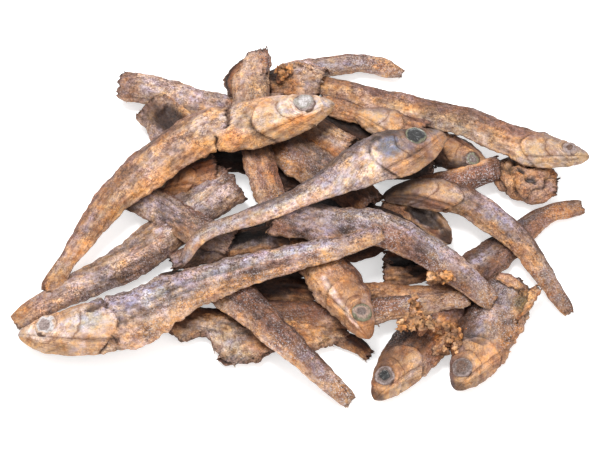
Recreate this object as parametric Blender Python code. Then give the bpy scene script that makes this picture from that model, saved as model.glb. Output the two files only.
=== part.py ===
"""A heap of dried anchovies as one solid: a low core, with every fish and broken piece that shows fused on.

Plain numbers are millimetres. +X runs along the heap, -Y is the front, and the heap lies on Z = 0.
"""

import math
import random
from typing import NamedTuple

import bmesh
import bpy
from mathutils import Vector

MM = 0.001
SIDES = 10

# A fish lies on its side. Its depth runs from back to belly and its thickness from cheek to cheek.
THICK_TO_DEPTH = 0.54
HEAD_TO_GILL_DEPTH = 1.75
TAIL_TO_ROOT_DEPTH = 2.2
LEAST_TAIL = 0.14
MOST_HEAD = 0.7
BELLY_THINNING = 0.3
TAIL_FIN_THICKNESS = 1.1
FLOOR_GAP = 0.2
RAGGED_END = 1.1
STATION_SPACING = 4.5
TAIL_NOTCH = 2.0
GILL_STEP_LENGTH = 0.6
BODY_TO_GILL_DEPTH = 0.9

# An eye is a low dome on the upper cheek, placed by shares of the head's length and half depth.
EYE_ALONG_HEAD = 0.3
EYE_TOWARDS_BACK = 0.3
EYE_TO_GILL_DEPTH = 0.21
EYE_SIDES = 8
EYE_RISE = 0.5
EYE_TOP_SHARE = 0.7
EYE_ROOT = 1.0

# Depth along a head as a share of the depth at the gills, from the snout to the gill edge.
HEAD_STATIONS = (0.0, 0.08, 0.25, 0.5, 0.8, 1.0)
HEAD_DEPTHS = (0.14, 0.38, 0.66, 0.88, 1.0, 0.98)

# What each kind of piece still has: (a head, a tail fin).
KINDS = {
    "whole": (True, True),
    "front": (True, False),
    "rear": (False, True),
    "chunk": (False, False),
}

CORE_OUTLINE = ((-9, -5), (-2, -7), (7, -4), (10, 4), (9, 13), (3, 18), (-5, 16), (-9, 8))
CORE_HEIGHT = 5.0
CORE_TOP_SHARE = 0.6


class Piece(NamedTuple):
    """One fish or broken piece. Its back is on the left (1) or the right (-1) of the way from head to tail."""

    name: str
    kind: str
    back: int
    route: tuple
    heights: tuple
    depths: tuple
    torn: float = 0.0


# The route is the middle line in plan, from the head or the front end to the tail. The heights are of that
# line, spread evenly along it. The depths are at the gills or front end, in the middle and at the tail's
# root or rear end, and a fourth is the tail fin's. A torn belly edge strays by up to the last value.
PIECES = (
    Piece("hidden_left", "chunk", 1, ((-34, -15), (-16, -12), (2, -8)), (2.6, 2.6), (8, 9, 6)),
    Piece("hidden_middle", "chunk", 1, ((-24, -4), (-6, 6), (12, 17)), (2.8, 3.4), (9, 9, 7)),
    Piece("hidden_back", "chunk", 1, ((-7, 32), (14, 24), (34, 20)), (3, 3), (9, 10, 8)),
    Piece("hidden_long", "chunk", 1, ((-2, 8), (24, 2), (39, -11)), (5, 3.5), (9, 8, 5)),
    Piece("hidden_right", "chunk", 1, ((12, 39), (28, 34), (43, 29)), (2.8, 2.8), (8, 9, 7)),
    Piece("whole_fish_front", "whole", 1,
          ((18, -44), (24, -35), (32, -25), (42, -12), (52, -2), (62, 7), (72, 10)),
          (3.5, 2.2, 1.5), (13, 10, 5, 4)),
    Piece("half_fish_front", "front", 1, ((37, -42), (42, -33), (47, -23), (53, -14)),
          (4, 3.5), (14, 12.5, 11)),
    Piece("torn_belly", "chunk", -1, ((-31, -23), (-20, -26), (-5, -28), (12, -26)),
          (2.2, 2.2), (8, 12, 7), 2.0),
    Piece("tail_behind_head", "rear", 1, ((-9, -23), (11, -23), (31, -21), (42, -20)),
          (2.5, 7), (8.5, 7, 5, 6)),
    Piece("dark_strip", "chunk", 1, ((6, -15), (17, -17), (28, -18), (39, -18)), (2.2, 5), (7, 6.5, 4.5)),
    Piece("headless_left", "rear", 1, ((-18, 15), (-27, 7), (-38, -3), (-49, -10), (-60, -15), (-70, -22)),
          (4.5, 3, 1.3), (12, 11, 6.5, 5)),
    Piece("hollow_body", "chunk", 1, ((-38, 38), (-34, 33), (-29, 27), (-23, 22)), (4, 4.5), (11.5, 12, 10)),
    Piece("golden_head", "front", 1, ((-38, 12), (-31, 15), (-21, 18)), (3.5, 6), (9, 9, 8)),
    Piece("curled_piece", "chunk", 1, ((21, -9), (28, -9), (34, -8)), (2.5, 2.5), (10, 10.5, 7)),
    Piece("gill_piece", "front", 1, ((38, -3), (34, 2), (28, 7), (22, 9)), (4, 4), (9, 9, 8)),
    Piece("broken_head", "chunk", 1, ((66, 13), (59, 16), (51, 19)), (3.5, 3.5), (7.5, 13, 11), 0.6),
    Piece("body_end", "chunk", 1, ((51, 19), (45, 17), (38, 15), (31, 13)), (5, 3.5), (6.5, 7, 7)),
    Piece("head_behind", "front", 1, ((48, 20), (41, 23), (32, 26)), (5, 4), (10, 9.5, 8.5)),
    Piece("salty_body", "chunk", 1, ((-10, 29), (1, 20), (11, 12), (18, 6)), (7, 7), (11, 11, 9)),
    Piece("striped_body", "chunk", 1, ((-5, 32), (4, 28), (13, 23)), (8, 7), (8, 8.5, 7.5)),
    Piece("head_at_back", "front", 1, ((14, 34), (22, 31), (32, 27)), (7, 7), (9.5, 9.5, 9)),
    Piece("front_scrap", "chunk", 1, ((9, -28), (14, -30), (17, -33)), (1.5, 1.2), (4, 4.5, 3)),
    Piece("flake_strip", "chunk", 1, ((10, -5), (16, -4), (23, -1)), (2, 2.5), (4, 4.5, 3)),
    Piece("sunk_piece", "chunk", 1, ((-12, -14), (-6, -15), (-2, -14)), (2.2, 2.2), (6, 7, 5)),
    Piece("crumbled_front", "chunk", 1, ((-7, 46), (-1, 48), (6, 46)), (4, 4), (7.5, 10, 8.5), 0.8),
    Piece("tail_at_back", "rear", 1, ((-4, 48), (8, 51), (18, 53), (27, 51)), (4, 2), (6.5, 6, 4.5, 4.5)),
    Piece("broken_body", "chunk", 1, ((-47, 45), (-35, 42), (-25, 38), (-14, 36), (-4, 37)),
          (4, 5), (8, 8.5, 8.5)),
    Piece("upright_body", "chunk", 1, ((-14, 51), (-13, 39), (-11, 22), (-7, 8), (-5, 1)),
          (8, 9, 6), (9, 8.5, 6)),
    Piece("crossing_body", "chunk", 1, ((-42, 11), (-35, 7), (-26, 0), (-16, -4)), (3.5, 7.5), (8.5, 9.5, 7.5)),
    Piece("open_belly", "chunk", -1, ((1, -3), (-7, -3), (-16, -4), (-24, -5)), (8, 7), (6.5, 7.5, 5.5), 0.8),
    Piece("head_down_half", "front", -1, ((17, -32), (12, -22), (6, -11), (0, 0)), (8.5, 8, 7), (12, 11, 9.5)),
    Piece("frayed_tail", "rear", 1, ((-19, -16), (-11, -24), (-2, -34), (5, -40), (12, -46)),
          (6, 9, 2), (10.5, 8.5, 5, 5)),
    Piece("long_tail", "rear", 1, ((-6, 1), (7, -2), (21, -3), (32, -9), (41, -16), (48, -22)),
          (12, 10.5, 8), (11, 10, 7, 6)),
    Piece("long_fish_front", "whole", 1,
          ((-69, -28), (-59, -28), (-46, -26), (-33, -21), (-16, -15), (0, -11), (12, -8), (21, -5)),
          (3.5, 10, 13.5), (13.5, 9.5, 6, 5)),
    Piece("small_fish_right", "whole", 1,
          ((21, 9), (30, 10), (41, 8), (48, 3), (56, -4), (63, -16), (67, -22)), (7, 6.5, 2.5), (9.5, 7, 5, 4)),
    Piece("long_fish_right", "whole", -1,
          ((73, 20), (62, 22), (54, 25), (44, 30), (31, 35), (19, 39), (9, 43), (4, 45)),
          (8.5, 8, 5), (10, 8, 6.5, 6)),
    Piece("top_fish", "whole", -1, ((37, 23), (28, 18), (17, 14), (3, 5), (-12, -1), (-24, -5), (-29, -12)),
          (13, 16, 10), (15, 7.5, 3.5, 3)),
    Piece("long_fish_left", "whole", -1,
          ((9, 31), (-3, 28), (-14, 26), (-24, 25), (-36, 17), (-45, 9), (-54, -3), (-60, -14)),
          (16, 11.5, 3), (14, 11.5, 5, 9.5)),
    Piece("flesh_crumb_large", "chunk", 1, ((32, -33), (35, -31), (37, -28)), (4.5, 4.5), (4, 6, 4), 0.8),
    Piece("flesh_crumb_left", "chunk", 1, ((26, -25), (29, -25), (32, -24)), (4, 4.5), (3, 4, 3), 0.6),
    Piece("flesh_crumb_back", "chunk", 1, ((32, -13), (35, -14), (38, -15)), (5, 5), (3, 5, 3), 0.6),
)
WITH_EYES = (
    "whole_fish_front", "half_fish_front", "golden_head", "head_behind", "head_at_back",
    "head_down_half", "long_fish_front", "long_fish_right", "top_fish", "long_fish_left",
)


def spread(values, share):
    """The value at a share of the way along evenly spread values."""
    place = share * (len(values) - 1)
    first = min(int(place), len(values) - 2)
    return values[first] + (values[first + 1] - values[first]) * (place - first)


def read_knots(knots, values, place):
    """The value at a place between knots, in straight steps."""
    for k in range(len(knots) - 1):
        if place <= knots[k + 1]:
            share = (place - knots[k]) / (knots[k + 1] - knots[k])
            return values[k] + (values[k + 1] - values[k]) * share
    return values[-1]


def smooth_line(piece, steps=12):
    """Points of a Catmull-Rom curve through the piece's route and heights."""
    last = len(piece.route) - 1
    knots = [Vector((x, y, spread(piece.heights, k / last))) for k, (x, y) in enumerate(piece.route)]
    knots = [2 * knots[0] - knots[1]] + knots + [2 * knots[-1] - knots[-2]]
    line = []
    for k in range(last):
        a, b, c, d = knots[k:k + 4]
        for step in range(steps):
            t = step / steps
            line.append(
                0.5 * (2 * b + (c - a) * t + (2 * a - 5 * b + 4 * c - d) * t**2
                       + (3 * b - a - 3 * c + d) * t**3)
            )
    line.append(knots[-2])
    return line


def lengths_along(line):
    total = [0.0]
    for first, second in zip(line, line[1:]):
        total.append(total[-1] + (second - first).length)
    return total


def depth_knots(piece, length):
    """Places along the piece and its depths there."""
    has_head, has_tail = KINDS[piece.kind]
    front, middle, rear = piece.depths[:3]
    head = min(HEAD_TO_GILL_DEPTH * front, MOST_HEAD * length) if has_head else 0.0
    tail = min(TAIL_TO_ROOT_DEPTH * rear, LEAST_TAIL * length) if has_tail else 0.0
    places, depths = [0.0], [front]
    if has_head:
        places = [share * head for share in HEAD_STATIONS]
        depths = [share * front for share in HEAD_DEPTHS]
        places.append(head + GILL_STEP_LENGTH)
        depths.append(front * BODY_TO_GILL_DEPTH)
    root = length - tail
    places += [(head + root) / 2, root]
    depths += [middle, rear]
    if has_tail:
        places.append(length)
        depths.append(piece.depths[3])
    return places, depths, root


def stations(places):
    """The knots themselves, with even steps between those that lie far apart."""
    found = []
    for first, second in zip(places, places[1:]):
        parts = max(1, round((second - first) / STATION_SPACING))
        found += [first + (second - first) * k / parts for k in range(parts)]
    return found + [places[-1]]


def axes_at(piece, line, along, place):
    """The middle line's point at a place, with the ways forward, to the back's side and up."""
    k = min(max(sum(1 for value in along if value <= place), 1), len(line) - 1)
    share = (place - along[k - 1]) / (along[k] - along[k - 1])
    middle = line[k - 1].lerp(line[k], share)
    forward = (line[k] - line[k - 1]).normalized()
    side = Vector((-forward.y, forward.x, 0)).normalized() * piece.back
    up = forward.cross(side).normalized() * piece.back
    return middle, forward, side, up


def make_piece(piece, collection):
    """A closed tube of elliptical rings round the piece's middle line, thinner at the belly."""
    draw = random.Random(piece.name)
    line = smooth_line(piece)
    along = lengths_along(line)
    length = along[-1]
    places, depths, root = depth_knots(piece, length)
    has_head, has_tail = KINDS[piece.kind]
    mesh = bmesh.new()
    rings = []
    found = stations(places)
    for number, place in enumerate(found):
        middle, forward, side, up = axes_at(piece, line, along, place)
        depth = read_knots(places, depths, place)
        thick = depth * THICK_TO_DEPTH
        if has_tail and place > root:
            thick += (TAIL_FIN_THICKNESS - thick) * (place - root) / (length - root)
        at_cut = (number == 0 and not has_head) or (number == len(found) - 1 and not has_tail)
        ring = []
        for k in range(SIDES):
            turn = 2 * math.pi * k / SIDES
            thinned = 1 - BELLY_THINNING * max(0.0, -math.cos(turn))
            point = middle + side * (math.cos(turn) * depth / 2) + up * (math.sin(turn) * thinned * thick / 2)
            point -= side * (max(0.0, -math.cos(turn)) * draw.uniform(-piece.torn, piece.torn))
            if at_cut:
                point += forward * draw.uniform(-RAGGED_END, RAGGED_END)
            elif place == length:
                point -= forward * TAIL_NOTCH * (1 - abs(math.cos(turn)))
            point.z = max(point.z, FLOOR_GAP)
            ring.append(mesh.verts.new(point * MM))
        rings.append(ring)
    for first, second in zip(rings, rings[1:]):
        for k in range(SIDES):
            after = (k + 1) % SIDES
            mesh.faces.new((first[k], first[after], second[after], second[k]))
    for ring in (rings[0], rings[-1]):
        centre = mesh.verts.new(sum((vert.co for vert in ring), Vector()) / SIDES)
        for k in range(SIDES):
            mesh.faces.new((ring[k], ring[(k + 1) % SIDES], centre))
    return finish_mesh(piece.name, mesh, collection)


def make_eye(piece, collection):
    """A low eight-sided dome, set into the upper cheek."""
    line = smooth_line(piece)
    along = lengths_along(line)
    places, depths, _ = depth_knots(piece, along[-1])
    head = places[len(HEAD_STATIONS) - 1]
    middle, forward, side, up = axes_at(piece, line, along, EYE_ALONG_HEAD * head)
    depth = read_knots(places, depths, EYE_ALONG_HEAD * head)
    surface = math.sqrt(1 - EYE_TOWARDS_BACK**2) * depth * THICK_TO_DEPTH / 2
    centre = middle + side * EYE_TOWARDS_BACK * depth / 2 + up * surface
    radius = EYE_TO_GILL_DEPTH * piece.depths[0]
    mesh = bmesh.new()
    low, high = [], []
    for k in range(EYE_SIDES):
        turn = 2 * math.pi * k / EYE_SIDES
        spoke = forward * math.cos(turn) + side * math.sin(turn)
        low.append(mesh.verts.new((centre + spoke * radius - up * EYE_ROOT) * MM))
        high.append(mesh.verts.new((centre + spoke * radius * EYE_TOP_SHARE + up * EYE_RISE) * MM))
    mesh.faces.new(low)
    mesh.faces.new(high)
    for k in range(EYE_SIDES):
        after = (k + 1) % EYE_SIDES
        mesh.faces.new((low[k], low[after], high[after], high[k]))
    return finish_mesh(piece.name + "_eye", mesh, collection)


def make_core():
    """A low mound with a flat underside, hidden by the fish that lie over it."""
    mesh = bmesh.new()
    base = [mesh.verts.new((x * MM, y * MM, 0)) for x, y in CORE_OUTLINE]
    middle = Vector((sum(x for x, y in CORE_OUTLINE), sum(y for x, y in CORE_OUTLINE))) / len(CORE_OUTLINE)
    top = []
    for x, y in CORE_OUTLINE:
        inner = middle + (Vector((x, y)) - middle) * CORE_TOP_SHARE
        top.append(mesh.verts.new((inner.x * MM, inner.y * MM, CORE_HEIGHT * MM)))
    mesh.faces.new(base)
    mesh.faces.new(top)
    for k in range(len(base)):
        after = (k + 1) % len(base)
        mesh.faces.new((base[k], base[after], top[after], top[k]))
    return finish_mesh("anchovy_heap", mesh, bpy.context.scene.collection)


def finish_mesh(name, mesh, collection):
    bmesh.ops.recalc_face_normals(mesh, faces=mesh.faces[:])
    data = bpy.data.meshes.new(name)
    mesh.to_mesh(data)
    mesh.free()
    made = bpy.data.objects.new(name, data)
    collection.objects.link(made)
    return made


def keep_outer_shell(made):
    """Drops loose scraps and the shells of sealed hollows, so that one outer surface is left."""
    mesh = bmesh.new()
    mesh.from_mesh(made.data)
    left = set(mesh.verts)
    islands = []
    while left:
        island = set()
        queue = [left.pop()]
        while queue:
            vert = queue.pop()
            island.add(vert)
            near = {edge.other_vert(vert) for edge in vert.link_edges} & left
            left -= near
            queue += near
        islands.append(island)
    islands.sort(key=len)
    for island in islands[:-1]:
        bmesh.ops.delete(mesh, geom=list(island), context="VERTS")
    mesh.to_mesh(made.data)
    mesh.free()


def main():
    for old in list(bpy.data.objects):
        bpy.data.objects.remove(old)
    heap = make_core()
    joined = bpy.data.collections.new("joined")
    bpy.context.scene.collection.children.link(joined)
    for piece in PIECES:
        make_piece(piece, joined)
        if piece.name in WITH_EYES:
            make_eye(piece, joined)
    union = heap.modifiers.new("union", "BOOLEAN")
    union.operation = "UNION"
    union.operand_type = "COLLECTION"
    union.collection = joined
    union.solver = "MANIFOLD"
    graph = bpy.context.evaluated_depsgraph_get()
    fused = bpy.data.meshes.new_from_object(heap.evaluated_get(graph))
    heap.modifiers.clear()
    heap.data = fused
    for old in list(joined.objects):
        bpy.data.objects.remove(old)
    bpy.data.collections.remove(joined)
    keep_outer_shell(heap)


main()
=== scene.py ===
"""A heap of dried anchovies: separate fish, heads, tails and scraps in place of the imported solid.

Plain numbers are millimetres until a mesh is made. +X runs along the heap, -Y is the front.
"""

import math
from typing import NamedTuple

import bpy
import numpy as np
from bpy.props import FloatProperty, FloatVectorProperty, IntProperty, PointerProperty
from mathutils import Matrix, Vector


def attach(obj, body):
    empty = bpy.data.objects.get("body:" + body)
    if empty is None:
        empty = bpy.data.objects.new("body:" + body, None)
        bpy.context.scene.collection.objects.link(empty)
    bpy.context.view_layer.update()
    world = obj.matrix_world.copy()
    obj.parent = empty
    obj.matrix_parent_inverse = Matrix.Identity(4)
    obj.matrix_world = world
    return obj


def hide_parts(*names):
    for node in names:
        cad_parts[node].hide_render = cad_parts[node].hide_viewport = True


bl_info = {
    "name": "Dried Anchovy Heap",
    "version": (1, 0, 0),
    "blender": (4, 5, 0),
    "location": "3D View > Sidebar > Anchovies",
    "description": "Builds a heap of dried anchovies with separate fish, eyes and scraps",
    "category": "Add Mesh",
}

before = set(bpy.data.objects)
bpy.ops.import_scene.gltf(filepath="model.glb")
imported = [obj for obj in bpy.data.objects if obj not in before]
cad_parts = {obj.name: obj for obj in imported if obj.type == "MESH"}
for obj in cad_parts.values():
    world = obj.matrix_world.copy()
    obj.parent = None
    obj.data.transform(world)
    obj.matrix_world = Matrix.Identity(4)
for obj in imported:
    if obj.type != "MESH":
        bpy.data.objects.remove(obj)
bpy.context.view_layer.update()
NODE = "anchovy_heap"
BODY = "root"
MM = 0.001

# A distance beyond the reach of everything that is measured from it.
FAR = 9.0

# What each kind of piece still has: (a head, a tail fin).
KINDS = {
    "whole": (True, True),
    "front": (True, False),
    "rear": (False, True),
    "chunk": (False, False),
    "lump": (False, False),
    "flake": (False, False),
}
# The most of a piece's length that its head and its tail fin take.
MOST_HEAD = 0.7
MOST_TAIL = 0.14
TAIL_TO_ROOT_DEPTH = 2.2
# A head's outline: shares of its length, and its depths there as shares of the depth at the gills.
HEAD_STATIONS = (0.0, 0.08, 0.25, 0.5, 0.8, 1.0)
HEAD_DEPTHS = (0.14, 0.38, 0.66, 0.88, 1.0, 0.98)
GILL_STEP_LENGTH = 0.6
BODY_TO_GILL_DEPTH = 0.9
NOSE_LENGTH = 1.6
TAIL_FIN_THICKNESS = 1.1
FLAKE_THICKNESS = 0.8
FLAKE_CURL = 0.12
BELLY_THINNING = 0.3
# A section's height is (1 - across to the first power) to the second power, flatter than an ellipse.
SECTION_POWERS = (2.7, 0.58)
# Depths are evened out over this far to each side. Relief has its full size on a fish of this depth.
DEPTH_REACH = 1.8
FULL_RELIEF_DEPTH = 9
# Rings that line a broken end: how far inside it they lie, and their shares of its size.
CUT_INSETS = (2.6, 2.2, 1.2, 0.4)
CUT_SIZES = (0.25, 0.55, 0.82, 0.95)
LEAST_ROWS = 16
# Where the named colours of a coat lie across it, from the belly to the back.
BAND_KNOTS = (-1.0, -0.62, -0.2, 0.28, 0.6, 0.84)
HEAD_SHADE = 0.85
# Painted shade: how much of its red, green and blue the skin's colour loses far below the heap's top,
# between fish.
HOLLOW_SHADE = (0.82, 0.88, 0.92)
FLOOR_GAP = 0.05
# The height map of the heap: cell size, corner, cells and how many cells its two blurs reach.
MAP_STEP = 0.5
MAP_CORNER = np.array([-85.0, -60.0])
MAP_CELLS = (340, 260)
MAP_BLURS = (2, 9)
# Splinters: how many fray each end, and the rings and sides of each blade.
END_SPLINTERS = 5
TEARS_TO_LENGTH = 0.2
BLADE_RINGS = 5
BLADE_SIDES = 4
BLADE_POINTS = BLADE_RINGS * BLADE_SIDES + 2
BLADE_MARKS = 0.3
CRUMB_RINGS = 9
CRUMB_SIDES = 14
CRUMB_COLOURS = ("orange", "golden", "honey", "rust", "caramel", "orange")
CORE_OUTLINE = ((-9, -5), (-2, -7), (7, -4), (10, 4), (9, 13), (3, 18), (-5, 16), (-9, 8))
CORE_HEIGHT = 5.0
CORE_RINGS = 13
CORE_SIDES = 48
EYE_UPTURN = 0.35
EYE_RINGS = 22
EYE_SPOKES = 40
# Where an eye's colours lie, as shares of its radius: pupil twice, ring twice, rim twice, then brown.
EYE_KNOTS = (0.0, 0.4, 0.52, 0.68, 0.8, 0.9, 1.0)
# In metres: the table's half width, what the camera looks at, and each light's name, place and size, with
# its share of the key light's power.
TABLE_HALF = 3.0
CAMERA_AIM = (0.0002, 0.0002, 0.008)
CAMERA_NEAR = 0.01
LIGHTS = (
    ("key", (-0.13, 0.13, 0.68), 0.26, 1.0),
    ("fill", (0.45, -0.30, 0.55), 0.5, 0.25),
    ("glint", (-0.34, 0.22, 0.6), 0.07, 0.12),
)


class Coat(NamedTuple):
    """The colours of one fish's skin by name, and how spotted, salty and shiny it is."""

    ridge: str
    back: str
    flank: str
    belly: str
    crown: str = "tan"
    cheek: str = "cream"
    jaw: str = "tan"
    spots: float = 0.4
    salt: float = 0.3
    shine: float = 0.2


COATS = {
    "gold": Coat("russet", "golden", "sand", "golden", "sand", "cream", "golden", 0.25, 0.1, 0.2),
    "silver": Coat("slate", "ash", "silver", "blush", "slate", "ash", "tan", 0.4, 0.25, 0.5),
    "lilac": Coat("ash", "lilac", "blush", "tan", "tan", "cream", "golden", 0.9, 0.4, 0.4),
    "grey": Coat("ash", "lilac", "clay", "russet", "tan", "sand", "tan", 0.9, 0.5, 0.4),
    "ridge": Coat("brown", "russet", "golden", "sand", "clay", "sand", "sand", 0.5, 0.15, 0.3),
    "brown": Coat("brown", "clay", "clay", "honey", "clay", "tan", "russet", 0.7, 0.35, 0.3),
    "mottled": Coat("brown", "slate", "russet", "russet", "caramel", "golden", "sand", 1.0, 0.3, 0.4),
    "tornhalf": Coat("brown", "ash", "clay", "honey", "russet", "golden", "tan", 0.9, 0.5, 0.4),
    "amber": Coat("brown", "caramel", "honey", "honey", "caramel", "honey", "honey", 0.5, 0.2, 0.2),
    "dim": Coat("umber", "rust", "rust", "honey", "rust", "caramel", "honey", 0.6, 0.1, 0.2),
    "dusky": Coat("russet", "clay", "lilac", "clay", "caramel", "tan", "sand", 0.9, 0.5, 0.4),
    "hollow": Coat("caramel", "clay", "brown", "clay", "brown", "brown", "brown", 0.8, 0.1, 0.2),
    "red": Coat("brown", "russet", "russet", "tan", "rust", "tan", "sand", 0.8, 0.6, 0.3),
    "salty": Coat("tan", "clay", "russet", "honey", "rust", "tan", "sand", 1.0, 0.9, 0.4),
    "striped": Coat("caramel", "golden", "blush", "orange", "rust", "tan", "sand", 0.9, 0.4, 0.3),
    "pale": Coat("clay", "blush", "blush", "clay", "tan", "cream", "tan", 0.7, 0.3, 0.3),
    "ruddy": Coat("russet", "honey", "russet", "tan", "rust", "tan", "sand", 0.8, 0.4, 0.3),
    "charred": Coat("russet", "golden", "golden", "sand", "rust", "tan", "sand", 0.7, 0.2, 0.2),
    "dark": Coat("brown", "caramel", "rust", "honey", "brown", "rust", "brown", 0.8, 0.1, 0.2),
    "crust": Coat("caramel", "honey", "tan", "honey", "russet", "caramel", "tan", 0.4, 0.1, 0.3),
    # Painted shade: the all-dark coat of the hidden pieces, standing in for the shade between the fish.
    "shade": Coat("umber", "umber", "umber", "brown", "umber", "brown", "brown", 0.8, 0.0, 0.0),
    "crumbly": Coat("russet", "caramel", "golden", "honey", "orange", "orange", "golden", 0.9, 0.1, 0.2),
    "burnt": Coat("umber", "caramel", "rust", "umber", "umber", "umber", "umber", 0.8, 0.1, 0.3),
    "ribbed": Coat("honey", "golden", "sand", "orange", "tan", "tan", "tan", 0.4, 0.2, 0.3),
    "flesh": Coat("rust", "orange", "golden", "honey", "orange", "orange", "golden", 0.4, 0.1, 0.1),
}


class Piece(NamedTuple):
    """One fish or broken piece. Its back is on the left (1) or the right (-1) of the way to the tail."""

    name: str
    kind: str
    back: int
    route: tuple
    heights: tuple
    depths: tuple
    coat: str
    torn: float = 0.0
    flaps: tuple = ()
    cracks: tuple = ()
    patches: tuple = ()
    gill: float = 1.0
    girth: tuple = ()
    dents: tuple = ()


# The route is the middle line in plan, from the head or the front end to the tail. The heights are of that
# line, spread evenly along it. The depths are at the gills or front end, in the middle and at the tail's
# root or rear end, and a fourth is the tail fin's. A torn belly edge strays by about the torn value. A flap
# is (share along, half width, reach beyond the belly). A crack is (share along, its lowest and its highest
# place across), where -1 is the belly and 1 the back. A patch of colour is (share along, place across, half
# length, half width across, colour, strength). The gill value is the gill cover's length as a share of the
# head's whole length. Girth gives more depths as (share along, depth), and takes the place of the middle
# one. A dent is (share along, place across, half length, half width across, depth).
# Most hidden pieces wear the shade coat: painted shade that darkens the gaps between the fish.
HIDDEN = (
    Piece("hidden_left", "chunk", 1, ((-34, -15), (-16, -12), (2, -8)), (2.6, 2.6), (8, 9, 6), "shade"),
    Piece("hidden_middle", "chunk", 1, ((-24, -4), (-6, 6), (12, 17)), (2.8, 3.4), (9, 9, 7), "shade"),
    Piece("hidden_back", "chunk", 1, ((-7, 32), (14, 24), (34, 20)), (3, 3), (9, 10, 8), "shade"),
    Piece("hidden_long", "chunk", 1, ((-2, 8), (24, 2), (39, -11)), (5, 3.5), (9, 8, 5), "shade"),
    Piece("hidden_right", "chunk", 1, ((12, 37), (26, 32.4), (37.5, 28.8)), (2.8, 2.8), (7, 8, 6), "ridge"),
    Piece("hidden_slit", "chunk", 1, ((-27, 26), (-19, 23), (-9, 21), (3, 15)), (2.5, 2.5), (6, 7, 8),
          "shade"),
    Piece("hidden_wedge", "chunk", 1, ((-7, 41), (10, 34), (20, 30)), (2.5, 2.5), (9, 11, 8), "shade"),
)
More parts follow.
